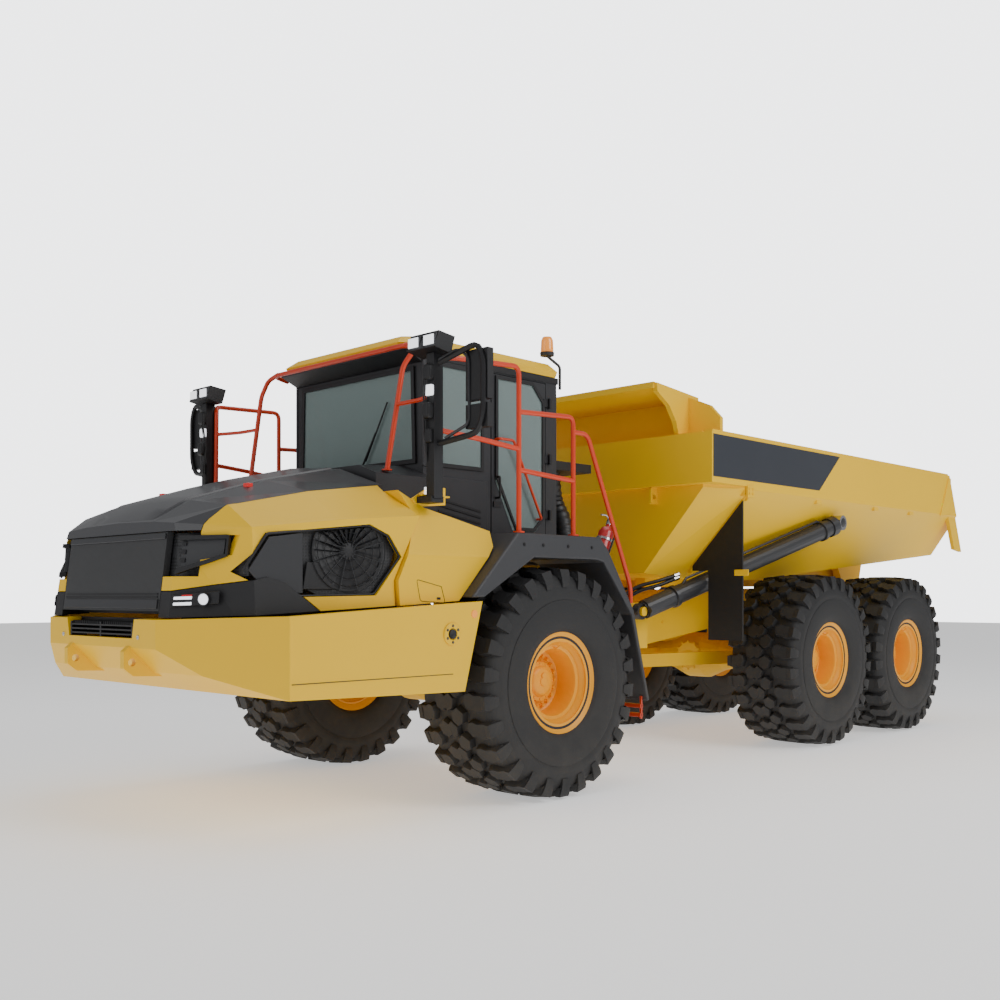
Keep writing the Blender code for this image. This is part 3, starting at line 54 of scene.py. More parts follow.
ROUNDED_OVER = 30      # a rounded piece's edges sharper than this many degrees are rounded
Points = np.ndarray


class Side(Enum):
    """The two sides of the machine, as the sign of y."""
    LEFT = 1
    RIGHT = -1

    @property
    def word(self) -> str:
        """Name of the side as it stands in node names."""
        return self.name.lower()


# ---- Shapes: numpy surfaces ----------------------------------------------------------------------
@dataclass
class Shape:
    """Points (n, 3) and faces, the faces as arrays of equal corner count."""
    points: Points
    faces: list[np.ndarray]

    def __add__(self, other: "Shape") -> "Shape":
        """Both shapes as one, the second's faces counted on from the first's points."""
        start = len(self.points)
        return Shape(np.vstack([self.points, other.points]), self.faces + [f + start for f in other.faces])

    def moved(self, x: float, y: float, z: float) -> "Shape":
        """The shape shifted by x, y and z."""
        return Shape(self.points + np.array([x, y, z]), self.faces)

    def mapped(self, matrix: Points) -> "Shape":
        """The shape turned or scaled by a 3 by 3 matrix."""
        return Shape(self.points @ np.asarray(matrix).T, self.faces)

    def mirrored(self) -> "Shape":
        """The shape mirrored from left to right, its faces turned round to match."""
        return Shape(self.points * np.array([1, -1, 1]), [f[:, ::-1] for f in self.faces])

    def on(self, side: Side) -> "Shape":
        """The shape drawn for the left side, placed on the given side."""
        return self if side is Side.LEFT else self.mirrored()


def joined(shapes: list[Shape]) -> Shape:
    """All the shapes as one."""
    whole = shapes[0]
    for shape in shapes[1:]:
        whole = whole + shape
    return whole


def grid(points: Points, around: bool = False, along: bool = False, caps: bool = False) -> Shape:
    """Surface over a grid of points.

    Args:
        points: array (rows, columns, 3); corner (i, j) joins (i + 1, j) and (i, j + 1).
        around: whether the last column joins the first.
        along: whether the last row joins the first.
        caps: whether the first and last rows are closed by one face each.

    Returns:
        The quads over the grid, and the caps.
    """
    rows, columns = points.shape[:2]
    i, j = np.meshgrid(np.arange(rows if along else rows - 1), np.arange(columns if around else columns - 1),
                       indexing="ij")
    here, next_row, next_column = i * columns, (i + 1) % rows * columns, (j + 1) % columns
    quads = np.stack([here + j, here + next_column, next_row + next_column, next_row + j],
                     axis=-1).reshape(-1, 4)
    faces = [quads]
    if caps:
        ring = np.arange(columns)
        faces += [ring[None, ::-1], (rows - 1) * columns + ring[None]]
    return Shape(points.reshape(-1, 3), faces)


def plate(outline: list, axis: str, low: float, high: float) -> Shape:
    """Flat outline, the other two coordinates in x, y, z order, carried straight from low to high."""
    flat = np.asarray(outline, float)
    level = np.broadcast_to(np.array([low, high])[:, None], (2, len(flat)))
    first, second = np.broadcast_to(flat[:, 0], level.shape), np.broadcast_to(flat[:, 1], level.shape)
    order = {"X": (level, first, second), "Y": (first, level, second), "Z": (first, second, level)}[axis]
    return grid(np.stack(order, axis=-1), around=True, caps=True)


def block(x0: float, x1: float, y0: float, y1: float, z0: float, z1: float) -> Shape:
    """A block between two corners."""
    return plate([(x0, y0), (x1, y0), (x1, y1), (x0, y1)], "Z", z0, z1)


def lathe(profile: list, centre: tuple, axis: str = "Y", steps: int = 72, closed: bool = False) -> Shape:
    """Profile of (distance along the axis, radius) turned about an axis through centre.

    A point is centre + along * axis + radius * (cos a, sin a) over the turn a.
    """
    line = np.asarray(profile, float)
    a = np.arange(steps) * math.tau / steps
    ring = [line[:, 1:2] * np.cos(a), line[:, 1:2] * np.sin(a)]
    along = np.broadcast_to(line[:, :1], ring[0].shape)
    order = {"X": (along, ring[0], ring[1]), "Y": (ring[1], along, ring[0]),
             "Z": (ring[0], ring[1], along)}[axis]
    return grid(np.stack(order, axis=-1) + np.asarray(centre, float), around=True, along=closed)


def drum(low: float, high: float, radius: float, centre: tuple, steps: int) -> Shape:
    """A cylinder about the upright axis through centre, from low to high along it."""
    return lathe([(low, 0), (low, radius), (high, radius), (high, 0)], centre, "Z", steps)


def frames(path: Points) -> tuple[Points, Points]:
    """Two unit vectors across each point of a path, from the coordinate axis it runs along least."""
    tangent = np.gradient(path, axis=0)
    tangent /= np.linalg.norm(tangent, axis=1, keepdims=True)
    steady = np.eye(3)[np.argmin(np.abs(tangent).max(axis=0))]
    side = np.cross(tangent, steady)
    side /= np.linalg.norm(side, axis=1, keepdims=True)
    return side, np.cross(side, tangent)


def tube(path: Points, radius: float | Points, steps: int = 12) -> Shape:
    """Round tube: each path point carries a circle radius * (cos a, sin a) across the path.

    The radius is one number, or one for each path point.
    """
    side, up = frames(path)
    a = np.arange(steps) * math.tau / steps
    out = np.cos(a)[None, :, None] * side[:, None] + np.sin(a)[None, :, None] * up[:, None]
    return grid(path[:, None] + np.reshape(radius, (-1, 1, 1)) * out, around=True, caps=True)


def smooth_path(corners: list, samples: int = 40) -> Points:
    """A soft curve through corner points: each coordinate is a cubic in the distance along them."""
    knots = np.asarray(corners, float)
    s = np.concatenate([[0], np.cumsum(np.linalg.norm(np.diff(knots, axis=0), axis=1))])
    slope = np.gradient(knots, s, axis=0)
    t = np.linspace(0, s[-1], samples)
    k = np.clip(np.searchsorted(s, t, side="right") - 1, 0, len(s) - 2)
    width = (s[k + 1] - s[k])[:, None]
    u = ((t - s[k])[:, None]) / width
    return ((1 + 2 * u) * (1 - u) ** 2 * knots[k] + u * (1 - u) ** 2 * width * slope[k]
            + u ** 2 * (3 - 2 * u) * knots[k + 1] + u ** 2 * (u - 1) * width * slope[k + 1])


def bent_path(corners: list, bend: float = 0.08, steps: int = 6) -> Points:
    """Straight runs joined by arcs that start bend before each corner, each arc a quadratic blend."""
    knots = np.asarray(corners, float)
    if len(knots) < 3:
        return knots
    before, corner, after = knots[:-2], knots[1:-1], knots[2:]
    first = corner + (before - corner) / np.linalg.norm(before - corner, axis=1, keepdims=True) * bend
    last = corner + (after - corner) / np.linalg.norm(after - corner, axis=1, keepdims=True) * bend
    t = np.linspace(0, 1, steps)[None, :, None]
    arcs = (1 - t) ** 2 * first[:, None] + 2 * t * (1 - t) * corner[:, None] + t ** 2 * last[:, None]
    return np.vstack([knots[:1], arcs.reshape(-1, 3), knots[-1:]])


def spread(shape: Shape, places: Points, turns: Points | None = None) -> Shape:
    """Copies of a small shape at places (n, 3), each turned by its own 3 by 3 matrix if turns is given."""
    count, size = len(places), len(shape.points)
    if turns is None:
        local = np.broadcast_to(shape.points, (count, size, 3))
    else:
        local = shape.points @ np.swapaxes(turns, 1, 2)
    start = (np.arange(count) * size)[:, None, None]
    return Shape((local + places[:, None]).reshape(-1, 3),
                 [(f[None] + start).reshape(-1, f.shape[1]) for f in shape.faces])


def turned_copies(shape: Shape, count: int, phase: float = 0.0) -> Shape:
    """Copies of a shape at even steps about the y axis, the first turned on by phase of a step."""
    a = (np.arange(count) + phase) * math.tau / count
    zero, one = np.zeros_like(a), np.ones_like(a)
    turns = np.stack([np.stack([np.cos(a), zero, np.sin(a)], -1), np.stack([zero, one, zero], -1),
                      np.stack([-np.sin(a), zero, np.cos(a)], -1)], axis=1)
    return spread(shape, np.zeros((count, 3)), turns)


def circle(radius: float, count: int) -> Points:
    """Points (count, 2) at even steps of a circle, radius * (cos a, sin a)."""
    a = np.arange(count) * math.tau / count
    return radius * np.stack([np.cos(a), np.sin(a)], axis=1)


def facing(normal: Points) -> Points:
    """Matrix that turns +Z onto a normal."""
    n = np.asarray(normal, float) / np.linalg.norm(normal)
    steady = np.array([1.0, 0, 0]) if abs(n[2]) > 0.7 else np.array([0, 0, 1.0])
    x = np.cross(steady, n)
    x /= np.linalg.norm(x)
    return np.stack([x, np.cross(n, x), n], axis=1)


def hex_bolt(radius: float = 0.016, height: float = 0.012) -> Shape:
    """A hexagon head on its washer, chamfered, standing on z = 0."""
    ring = circle(1.0, 6)
    levels = [(0.0, 1.0), (height * 0.75, 1.0), (height, 0.82)]
    head = np.stack([np.column_stack([ring * radius * s, np.full(6, z)]) for z, s in levels])
    washer = drum(0, height * 0.25, radius * 1.35, ORIGIN, 10)
    return grid(head, around=True, caps=True) + washer


def bolts(places: list, normal: tuple, radius: float = 0.016, height: float = 0.012) -> Shape:
    """Hexagon heads at places, all facing along normal."""
    return spread(hex_bolt(radius, height).mapped(facing(normal)), np.asarray(places, float))


def bolt_ring(centre: tuple, ring: float, count: int, side: float, radius: float, height: float) -> Shape:
    """Hexagon heads on a circle about the y axis: angle k * turn / count, facing along side."""
    a = np.arange(count) * math.tau / count
    places = np.stack([ring * np.sin(a), np.zeros(count), ring * np.cos(a)], axis=1) + np.asarray(centre)
    return spread(hex_bolt(radius, height).mapped(facing((0, side, 0))), places)


def cushion(centre: tuple, size: tuple, power: float = 5.0, lean: float = 0.0, crown: float = 0.0) -> Shape:
    """A padded form: a superellipsoid of the given size whose top swells by crown, leaned about y.

    The sphere's unit vector v becomes sign(v) * |v| ** (2 / power) on each axis, times half the size.
    """
    u, v = np.meshgrid(np.linspace(0, math.tau, 40, endpoint=False),
                       np.linspace(-math.pi / 2, math.pi / 2, 25))
    ball = np.stack([np.cos(v) * np.cos(u), np.cos(v) * np.sin(u), np.sin(v)], axis=-1)
    form = np.sign(ball) * np.abs(ball) ** (2 / power) * np.asarray(size) / 2
    form[..., 2] += crown * (1 - np.clip(np.abs(ball[..., :2]).max(axis=-1), 0, 1)) * np.sign(ball[..., 2])
    c, s = math.cos(lean), math.sin(lean)
    return grid(form @ np.array([[c, 0, -s], [0, 1, 0], [s, 0, c]]) + np.asarray(centre), around=True)


# ---- Shared shader effects -----------------------------------------------------------------------
class Graph:
    """A node tree with a short way to add a node and link its inputs."""

    def __init__(self, tree: bpy.types.NodeTree) -> None:
        """Keep the tree that nodes are added to."""
        self.tree = tree

    def add(self, kind: str, inputs: dict | None = None, **settings: object) -> bpy.types.Node:
        """Add a node.

        Args:
            kind: the node's type without its ShaderNode prefix.
            inputs: socket name or number to a value, or to the socket that feeds it.
            settings: the node's own properties.

        Returns:
            The node.
        """
        node = self.tree.nodes.new("ShaderNode" + kind)
        for name, value in settings.items():
            setattr(node, name, value)
        for key, value in (inputs or {}).items():
            if isinstance(value, bpy.types.NodeSocket):
                self.tree.links.new(value, node.inputs[key])
            else:
                node.inputs[key].default_value = value
        return node

    def math(self, operation: str, *values: object, clamp: bool = False) -> bpy.types.NodeSocket:
        """Output of a Math node on values or sockets."""
        return self.add("Math", dict(enumerate(values)), operation=operation, use_clamp=clamp).outputs[0]

    def mix(self, factor: object, first: object, second: object) -> bpy.types.NodeSocket:
        """Output of a colour mix."""
        return self.add("Mix", {0: factor, 6: first, 7: second}, data_type="RGBA").outputs[2]


def new_group(name: str, inputs: dict[str, float], outputs: dict[str, str]) -> tuple[Graph, dict, object]:
    """Start a shader group.

    Args:
        name: the group's name.
        inputs: name of each number socket and its usual value.
        outputs: name of each output socket and its kind.

    Returns:
        The group's graph, its input sockets by name, and its output node.
    """
    tree = bpy.data.node_groups.new(name, "ShaderNodeTree")
    for key, value in inputs.items():
        socket = tree.interface.new_socket(name=key, in_out="INPUT", socket_type="NodeSocketFloat")
        socket.default_value = value
    for key, kind in outputs.items():
        tree.interface.new_socket(name=key, in_out="OUTPUT", socket_type=kind)
    start, end = tree.nodes.new("NodeGroupInput"), tree.nodes.new("NodeGroupOutput")
    return Graph(tree), {key: start.outputs[key] for key in inputs}, end


def dust_group() -> bpy.types.NodeTree:
    """Road dust: thick near the ground and on faces that look up, broken by noise.

    Mask = Amount * noise * ((1 - z / Reach) + Settle * upward share of the normal).
    """
    graph, inp, end = new_group("road_dust", {"Amount": 0.3, "Reach": 1.5, "Settle": 0.3},
                                {"Mask": "NodeSocketFloat"})
    place = graph.add("TexCoord").outputs["Object"]
    height = graph.add("SeparateXYZ", {0: place}).outputs[2]
    up = graph.add("SeparateXYZ", {0: graph.add("NewGeometry").outputs["Normal"]}).outputs[2]
    low = graph.math("SUBTRACT", 1.0, graph.math("DIVIDE", height, inp["Reach"]), clamp=True)
    settled = graph.math("MULTIPLY", graph.math("MAXIMUM", up, 0.0), inp["Settle"])
    noise = graph.add("TexNoise", {"Vector": place, "Scale": 3.0, "Detail": 6.0,
                                   "Roughness": 0.65}).outputs[0]
    spots = graph.math("MULTIPLY_ADD", noise, 2.4, -0.7, clamp=True)
    total = graph.math("MULTIPLY", graph.math("MULTIPLY", graph.math("ADD", low, settled), spots),
                       inp["Amount"])
    graph.tree.links.new(graph.math("MINIMUM", total, 1.0), end.inputs["Mask"])
    return graph.tree


def grain_group() -> bpy.types.NodeTree:
    """Fine surface grain: Height for a bump, and a slow Tone from 0 to 1 that varies the colour."""
    graph, inp, end = new_group("surface_grain", {"Scale": 80.0, "Patch": 1.2},
                                {"Height": "NodeSocketFloat", "Tone": "NodeSocketFloat"})
    place = graph.add("TexCoord").outputs["Object"]
    fine = graph.add("TexNoise", {"Vector": place, "Scale": inp["Scale"], "Detail": 3.0, "Roughness": 0.6})
    slow = graph.add("TexNoise", {"Vector": place, "Scale": inp["Patch"], "Detail": 4.0, "Roughness": 0.55})
    graph.tree.links.new(fine.outputs[0], end.inputs["Height"])
    graph.tree.links.new(slow.outputs[0], end.inputs["Tone"])
    return graph.tree


def scuff_group() -> bpy.types.NodeTree:
    """Scuffs: short streaks where a stretched noise passes a threshold set by Amount."""
    graph, inp, end = new_group("scuffs", {"Amount": 0.2, "Scale": 6.0}, {"Mask": "NodeSocketFloat"})
    place = graph.add("TexCoord").outputs["Object"]
    long = graph.add("Mapping", {"Vector": place, "Scale": (1.0, 1.0, 5.0)}).outputs[0]
    noise = graph.add("TexNoise", {"Vector": long, "Scale": inp["Scale"], "Detail": 8.0,
                                   "Roughness": 0.75}).outputs[0]
    edge = graph.math("SUBTRACT", 0.86, graph.math("MULTIPLY", inp["Amount"], 0.3))
    mask = graph.math("MULTIPLY", graph.math("SUBTRACT", noise, edge), 14.0, clamp=True)
    graph.tree.links.new(mask, end.inputs["Mask"])
    return graph.tree


DUST, GRAIN, SCUFFS = dust_group(), grain_group(), scuff_group()
DUST_COLOUR = (0.42, 0.36, 0.28, 1.0)


@dataclass(frozen=True)
class Finish:
    """A finish of the machine: its colour, gloss, grain and dust."""
    name: str
    slot: str
    colour: tuple
    roughness: float = 0.4
    metallic: float = 0.0
    coat: float = 0.0
    grain: float = 80.0
    bump: float = 0.04
    dust: float = 0.25
    settle: float = 0.12
    scuff: float = 0.1
    bare: tuple = (0.25, 0.25, 0.26)
    vary: float = 0.10

    def start(self) -> tuple[bpy.types.Material, Graph, bpy.types.Node]:
        """Make the material and hand out its graph and shader."""
        material = bpy.data.materials.new(self.name)
        material.use_nodes = True
        graph = Graph(material.node_tree)
        shader = material.node_tree.nodes["Principled BSDF"]
        shader.inputs["Metallic"].default_value = self.metallic
        shader.inputs["Coat Weight"].default_value = self.coat
        shader.inputs["Coat Roughness"].default_value = 0.12
        material.diffuse_color = (*self.colour, 1.0)
        return material, graph, shader

    def group(self, graph: Graph, tree: bpy.types.NodeTree, **inputs: float) -> bpy.types.Node:
        """Place a shared effect with this finish's own values."""
        node = graph.add("Group", node_tree=tree)
        for key, value in inputs.items():
            node.inputs[key].default_value = value
        return node

    def dress(self, graph: Graph, shader: bpy.types.Node, colour: object, height: object = None) -> None:
        """Lay tone, scuffs and dust over a colour, and link colour, roughness and bump.

        Args:
            graph: the material's graph.
            shader: its Principled BSDF.
            colour: colour or socket of the clean finish.
            height: socket of a pattern's height, if the finish has one.
        """
        grain = self.group(graph, GRAIN, Scale=self.grain)
        dark = graph.add("HueSaturation", {"Color": colour, "Value": 1.0 - self.vary * 2}).outputs[0]
        toned = graph.mix(grain.outputs["Tone"], dark, colour)
        scuffed = self.group(graph, SCUFFS, Amount=self.scuff).outputs["Mask"]
        worn = graph.mix(graph.math("MULTIPLY", scuffed, 0.6), toned, (*self.bare, 1.0))
        dust = self.group(graph, DUST, Amount=self.dust, Settle=self.settle).outputs["Mask"]
        graph.tree.links.new(graph.mix(dust, worn, DUST_COLOUR), shader.inputs["Base Color"])
        rough = graph.math("ADD", self.roughness - 0.05, graph.math("MULTIPLY", grain.outputs["Tone"], 0.10))
        graph.tree.links.new(graph.math("ADD", rough, graph.math("MULTIPLY", dust, 0.5), clamp=True),
                             shader.inputs["Roughness"])
        relief = grain.outputs["Height"]
        if height is not None:
            relief = graph.math("ADD", relief, height)
        bump = graph.add("Bump", {"Strength": 0.35, "Distance": self.bump * 0.02, "Height": relief})
        graph.tree.links.new(bump.outputs[0], shader.inputs["Normal"])

    def build(self) -> bpy.types.Material:
        """The finished material."""
        material, graph, shader = self.start()
        self.dress(graph, shader, (*self.colour, 1.0))
        return material


@dataclass(frozen=True)
class RibbedFinish(Finish):
    """A finish with fine ribs across one axis, or a net across two, over it."""
    pitch: float = 0.018
    axis: int = 1
    net: bool = False

    def build(self) -> bpy.types.Material:
        """The finish, raised and full in colour where a triangle wave of the place passes a threshold, and
        darkened to 0.45 in the grooves as painted shade.
        """
        material, graph, shader = self.start()
        place = graph.add("SeparateXYZ", {0: graph.add("TexCoord").outputs["Object"]})
        wave = graph.math("PINGPONG", place.outputs[self.axis], self.pitch / 2)
        height = graph.math("DIVIDE", wave, self.pitch / 2)
        if self.net:
            other = graph.math("DIVIDE", graph.math("PINGPONG", place.outputs[2], self.pitch / 2),
                               self.pitch / 2)
            height = graph.math("MAXIMUM", height, other)
        step = graph.math("GREATER_THAN", height, 0.55)
        # Painted shade: the grooves and gaps between the ribs are darkened to 0.45 of the colour, standing in
        # for the shade inside them.
        shade = graph.mix(step, (*[c * 0.45 for c in self.colour], 1.0), (*self.colour, 1.0))
        self.dress(graph, shader, shade, graph.math("MULTIPLY", step, 6.0))
        return material


@dataclass(frozen=True)
class GlassFinish(Finish):
    """Clear safety glass with a faint tint and dusty lower edge."""

    def build(self) -> bpy.types.Material:
        """Thin glass: mostly see-through, with a sharp reflection; its tint colour, more opaque towards
        grazing angles, is partly the glass's faint tint and partly painted reflection.
        """
        material, graph, shader = self.start()
        shader.inputs["Roughness"].default_value = self.roughness
        dust = self.group(graph, DUST, Amount=self.dust, Reach=3.2, Settle=0.0).outputs["Mask"]
        graph.tree.links.new(graph.mix(dust, (*self.colour, 1.0), DUST_COLOUR), shader.inputs["Base Color"])
        # Painted reflection: the Fresnel raises the alpha towards grazing angles, so the diffuse tint colour
        # covers more of the glass there and stands in for reflected light.
        fresnel = graph.add("Fresnel", {"IOR": 1.45}).outputs[0]
        alpha = graph.math("ADD", 0.16, graph.math("MULTIPLY", fresnel, 0.9))
        graph.tree.links.new(graph.math("ADD", alpha, graph.math("MULTIPLY", dust, 0.5), clamp=True),
                             shader.inputs["Alpha"])
        return material


@dataclass(frozen=True)
class LampFinish(Finish):
    """A lit lens with a soft glow."""
    glow: float = 2.0

    def build(self) -> bpy.types.Material:
        """The lens, its glow set on the shader's own socket."""
        material, graph, shader = self.start()
        self.dress(graph, shader, (*self.colour, 1.0))
        shader.inputs["Emission Color"].default_value = (*self.colour, 1.0)
        shader.inputs["Emission Strength"].default_value = self.glow
        return material


class Palette:
    """Every finish of the machine, its material made when first asked for."""
    YELLOW = Finish("yellow_enamel", "yellow_paint", (1.0, 0.60, 0.0), 0.46, grain=140, bump=0.02,
                    dust=0.05, settle=0.10, scuff=0.03, vary=0.03)
    FRAME = Finish("yellow_chassis_enamel", "yellow_paint", (0.95, 0.56, 0.0), 0.48, grain=90, bump=0.05,
                   dust=0.16, scuff=0.12, vary=0.05)
    RIM = Finish("wheel_enamel", "yellow_paint", (0.98, 0.41, 0.0), 0.44, grain=120, bump=0.02,
                 dust=0.06, scuff=0.05, vary=0.03)
    CHARCOAL = Finish("charcoal_enamel", "dark_paint", (0.030, 0.031, 0.035), 0.40, coat=0.1, grain=160,
                      bump=0.04, dust=0.12, scuff=0.05, bare=(0.12, 0.12, 0.12))
    HOOD = Finish("hood_enamel", "dark_paint", (0.050, 0.051, 0.056), 0.36, coat=0.25, grain=180, bump=0.02,
                  dust=0.10, scuff=0.04, bare=(0.12, 0.12, 0.12))
    PLASTIC = Finish("moulded_plastic", "black_trim", (0.010, 0.010, 0.012), 0.50, grain=260, bump=0.12,
                     dust=0.15, scuff=0.03, bare=(0.08, 0.08, 0.08))
    FENDER = Finish("fender_plastic", "dark_paint", (0.042, 0.043, 0.048), 0.50, grain=240, bump=0.12,
                    dust=0.22, scuff=0.06, bare=(0.14, 0.14, 0.14))
    GRILLE = RibbedFinish("grille_slats", "dark_paint", (0.050, 0.051, 0.054), 0.45, grain=160, bump=0.25,
                          dust=0.12, bare=(0.12, 0.12, 0.12), pitch=0.016)
    NET = RibbedFinish("mesh_screen", "black_trim", (0.035, 0.036, 0.040), 0.5, grain=100, bump=0.5, dust=0.1,
                       bare=(0.1, 0.1, 0.1), pitch=0.022, axis=0, net=True)
    RUBBER = Finish("tyre_compound", "tyre_rubber", (0.016, 0.016, 0.017), 0.66, grain=120, bump=0.3,
                    dust=0.08, settle=0.1, scuff=0.08, bare=(0.04, 0.04, 0.04), vary=0.12)
    FLAP = Finish("flap_rubber", "flap_rubber", (0.011, 0.010, 0.010), 0.62, grain=90, bump=0.2, dust=0.08)
    HOSE = Finish("hose_rubber", "flap_rubber", (0.015, 0.015, 0.016), 0.45, grain=200, bump=0.1, dust=0.1)
    ORANGE = Finish("rail_enamel", "orange_paint", (0.78, 0.050, 0.006), 0.36, coat=0.2, grain=150,
                    dust=0.08, scuff=0.08)
    RED = Finish("bottle_enamel", "orange_paint", (0.55, 0.012, 0.012), 0.30, coat=0.4, grain=150, dust=0.1)
    STEEL = Finish("bright_steel", "rod_steel", (0.62, 0.62, 0.64), 0.22, metallic=1.0, grain=220,
                   bump=0.02, dust=0.12)
    IRON = Finish("cast_iron", "engine_iron", (0.10, 0.10, 0.105), 0.6, metallic=0.4, grain=60, bump=0.3,
                  dust=0.4)
    DECAL = Finish("dark_stripe", "dark_paint", (0.035, 0.040, 0.052), 0.40, grain=160, bump=0.01,
                   dust=0.08, scuff=0.03)
    CLOTH = Finish("seat_cloth", "seat_fabric", (0.10, 0.10, 0.105), 0.88, grain=700, bump=0.4, dust=0.1,
                   scuff=0.0)
    CABIN = Finish("cabin_trim", "black_trim", (0.060, 0.060, 0.062), 0.6, grain=300, bump=0.2, dust=0.08,
                   scuff=0.0)
    AMBER = LampFinish("amber_lens", "beacon_amber", (0.95, 0.33, 0.04), 0.18, coat=0.6, dust=0.05,
                       scuff=0.0, glow=0.5)
    WHITE = LampFinish("lamp_lens", "glazing", (0.92, 0.95, 1.0), 0.10, coat=0.8, dust=0.03, scuff=0.0,
                       glow=1.4)
    TAIL = LampFinish("tail_lens", "beacon_amber", (0.75, 0.02, 0.015), 0.2, coat=0.5, dust=0.05, scuff=0.0,
                      glow=0.4)
    NEON = Finish("reflector_film", "beacon_amber", (0.80, 0.85, 0.02), 0.35, dust=0.05, scuff=0.0)
    MIRROR = Finish("mirror_glass", "glazing", (0.75, 0.78, 0.80), 0.05, metallic=1.0, bump=0.0, dust=0.05,
                    scuff=0.0)
    GLASS = GlassFinish("safety_glass", "glazing", (0.34, 0.42, 0.41), 0.03, dust=0.04)
    TINT = GlassFinish("tinted_glass", "glazing", (0.03, 0.12, 0.11), 0.04, dust=0.05)
    _made: dict = {}

    @classmethod
    def material(cls, finish: Finish) -> bpy.types.Material:
        """The material of a finish."""
        if finish.name not in cls._made:
            cls._made[finish.name] = finish.build()
        return cls._made[finish.name]


P = Palette


# ---- Placing pieces ------------------------------------------------------------------------------
def piece(name: str, shape: Shape, body: str, finish: Finish, replaces: tuple = (), bevel: float = 0.0,
          angle: float = 35.0) -> bpy.types.Object:
    """Turn a shape into a finished piece riding on a body.

    Args:
        name: the piece's name.
        shape: its surface, in the machine frame.
        body: the body that it rides on.
        finish: its finish.
        replaces: the frame's nodes that it stands for.
        bevel: width of the rounding of its sharp edges.
        angle: edges sharper than this many degrees stay sharp.

    Returns:
        The piece's object.
    """
    mesh = bpy.data.meshes.new(name)
    mesh.from_pydata((shape.points + SHIFT).tolist(), [],
                     [corner for f in shape.faces for corner in f.tolist()])
    bm = bmesh.new()
    bm.from_mesh(mesh)
    bmesh.ops.remove_doubles(bm, verts=bm.verts, dist=WELD)
    bmesh.ops.recalc_face_normals(bm, faces=bm.faces)
    bm.to_mesh(mesh)
    bm.free()
    made = bpy.data.objects.new(name, mesh)
    bpy.context.scene.collection.objects.link(made)
    mesh.shade_smooth()
    mesh.set_sharp_from_angle(angle=math.radians(angle))
    if bevel:
        edge = made.modifiers.new("rounded_edges", "BEVEL")
        edge.width, edge.segments, edge.limit_method = bevel, 2, "ANGLE"
        edge.angle_limit = math.radians(ROUNDED_OVER)
        edge.harden_normals = True
    mesh.materials.append(P.material(finish))
    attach(made, body)
    if replaces:
        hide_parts(*replaces)
    return made


def paint(finish: Finish, *nodes: str) -> None:
    """Give nodes of the frame a finish."""
    for node in nodes:
        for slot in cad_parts[node].material_slots:
            slot.material = P.material(finish)


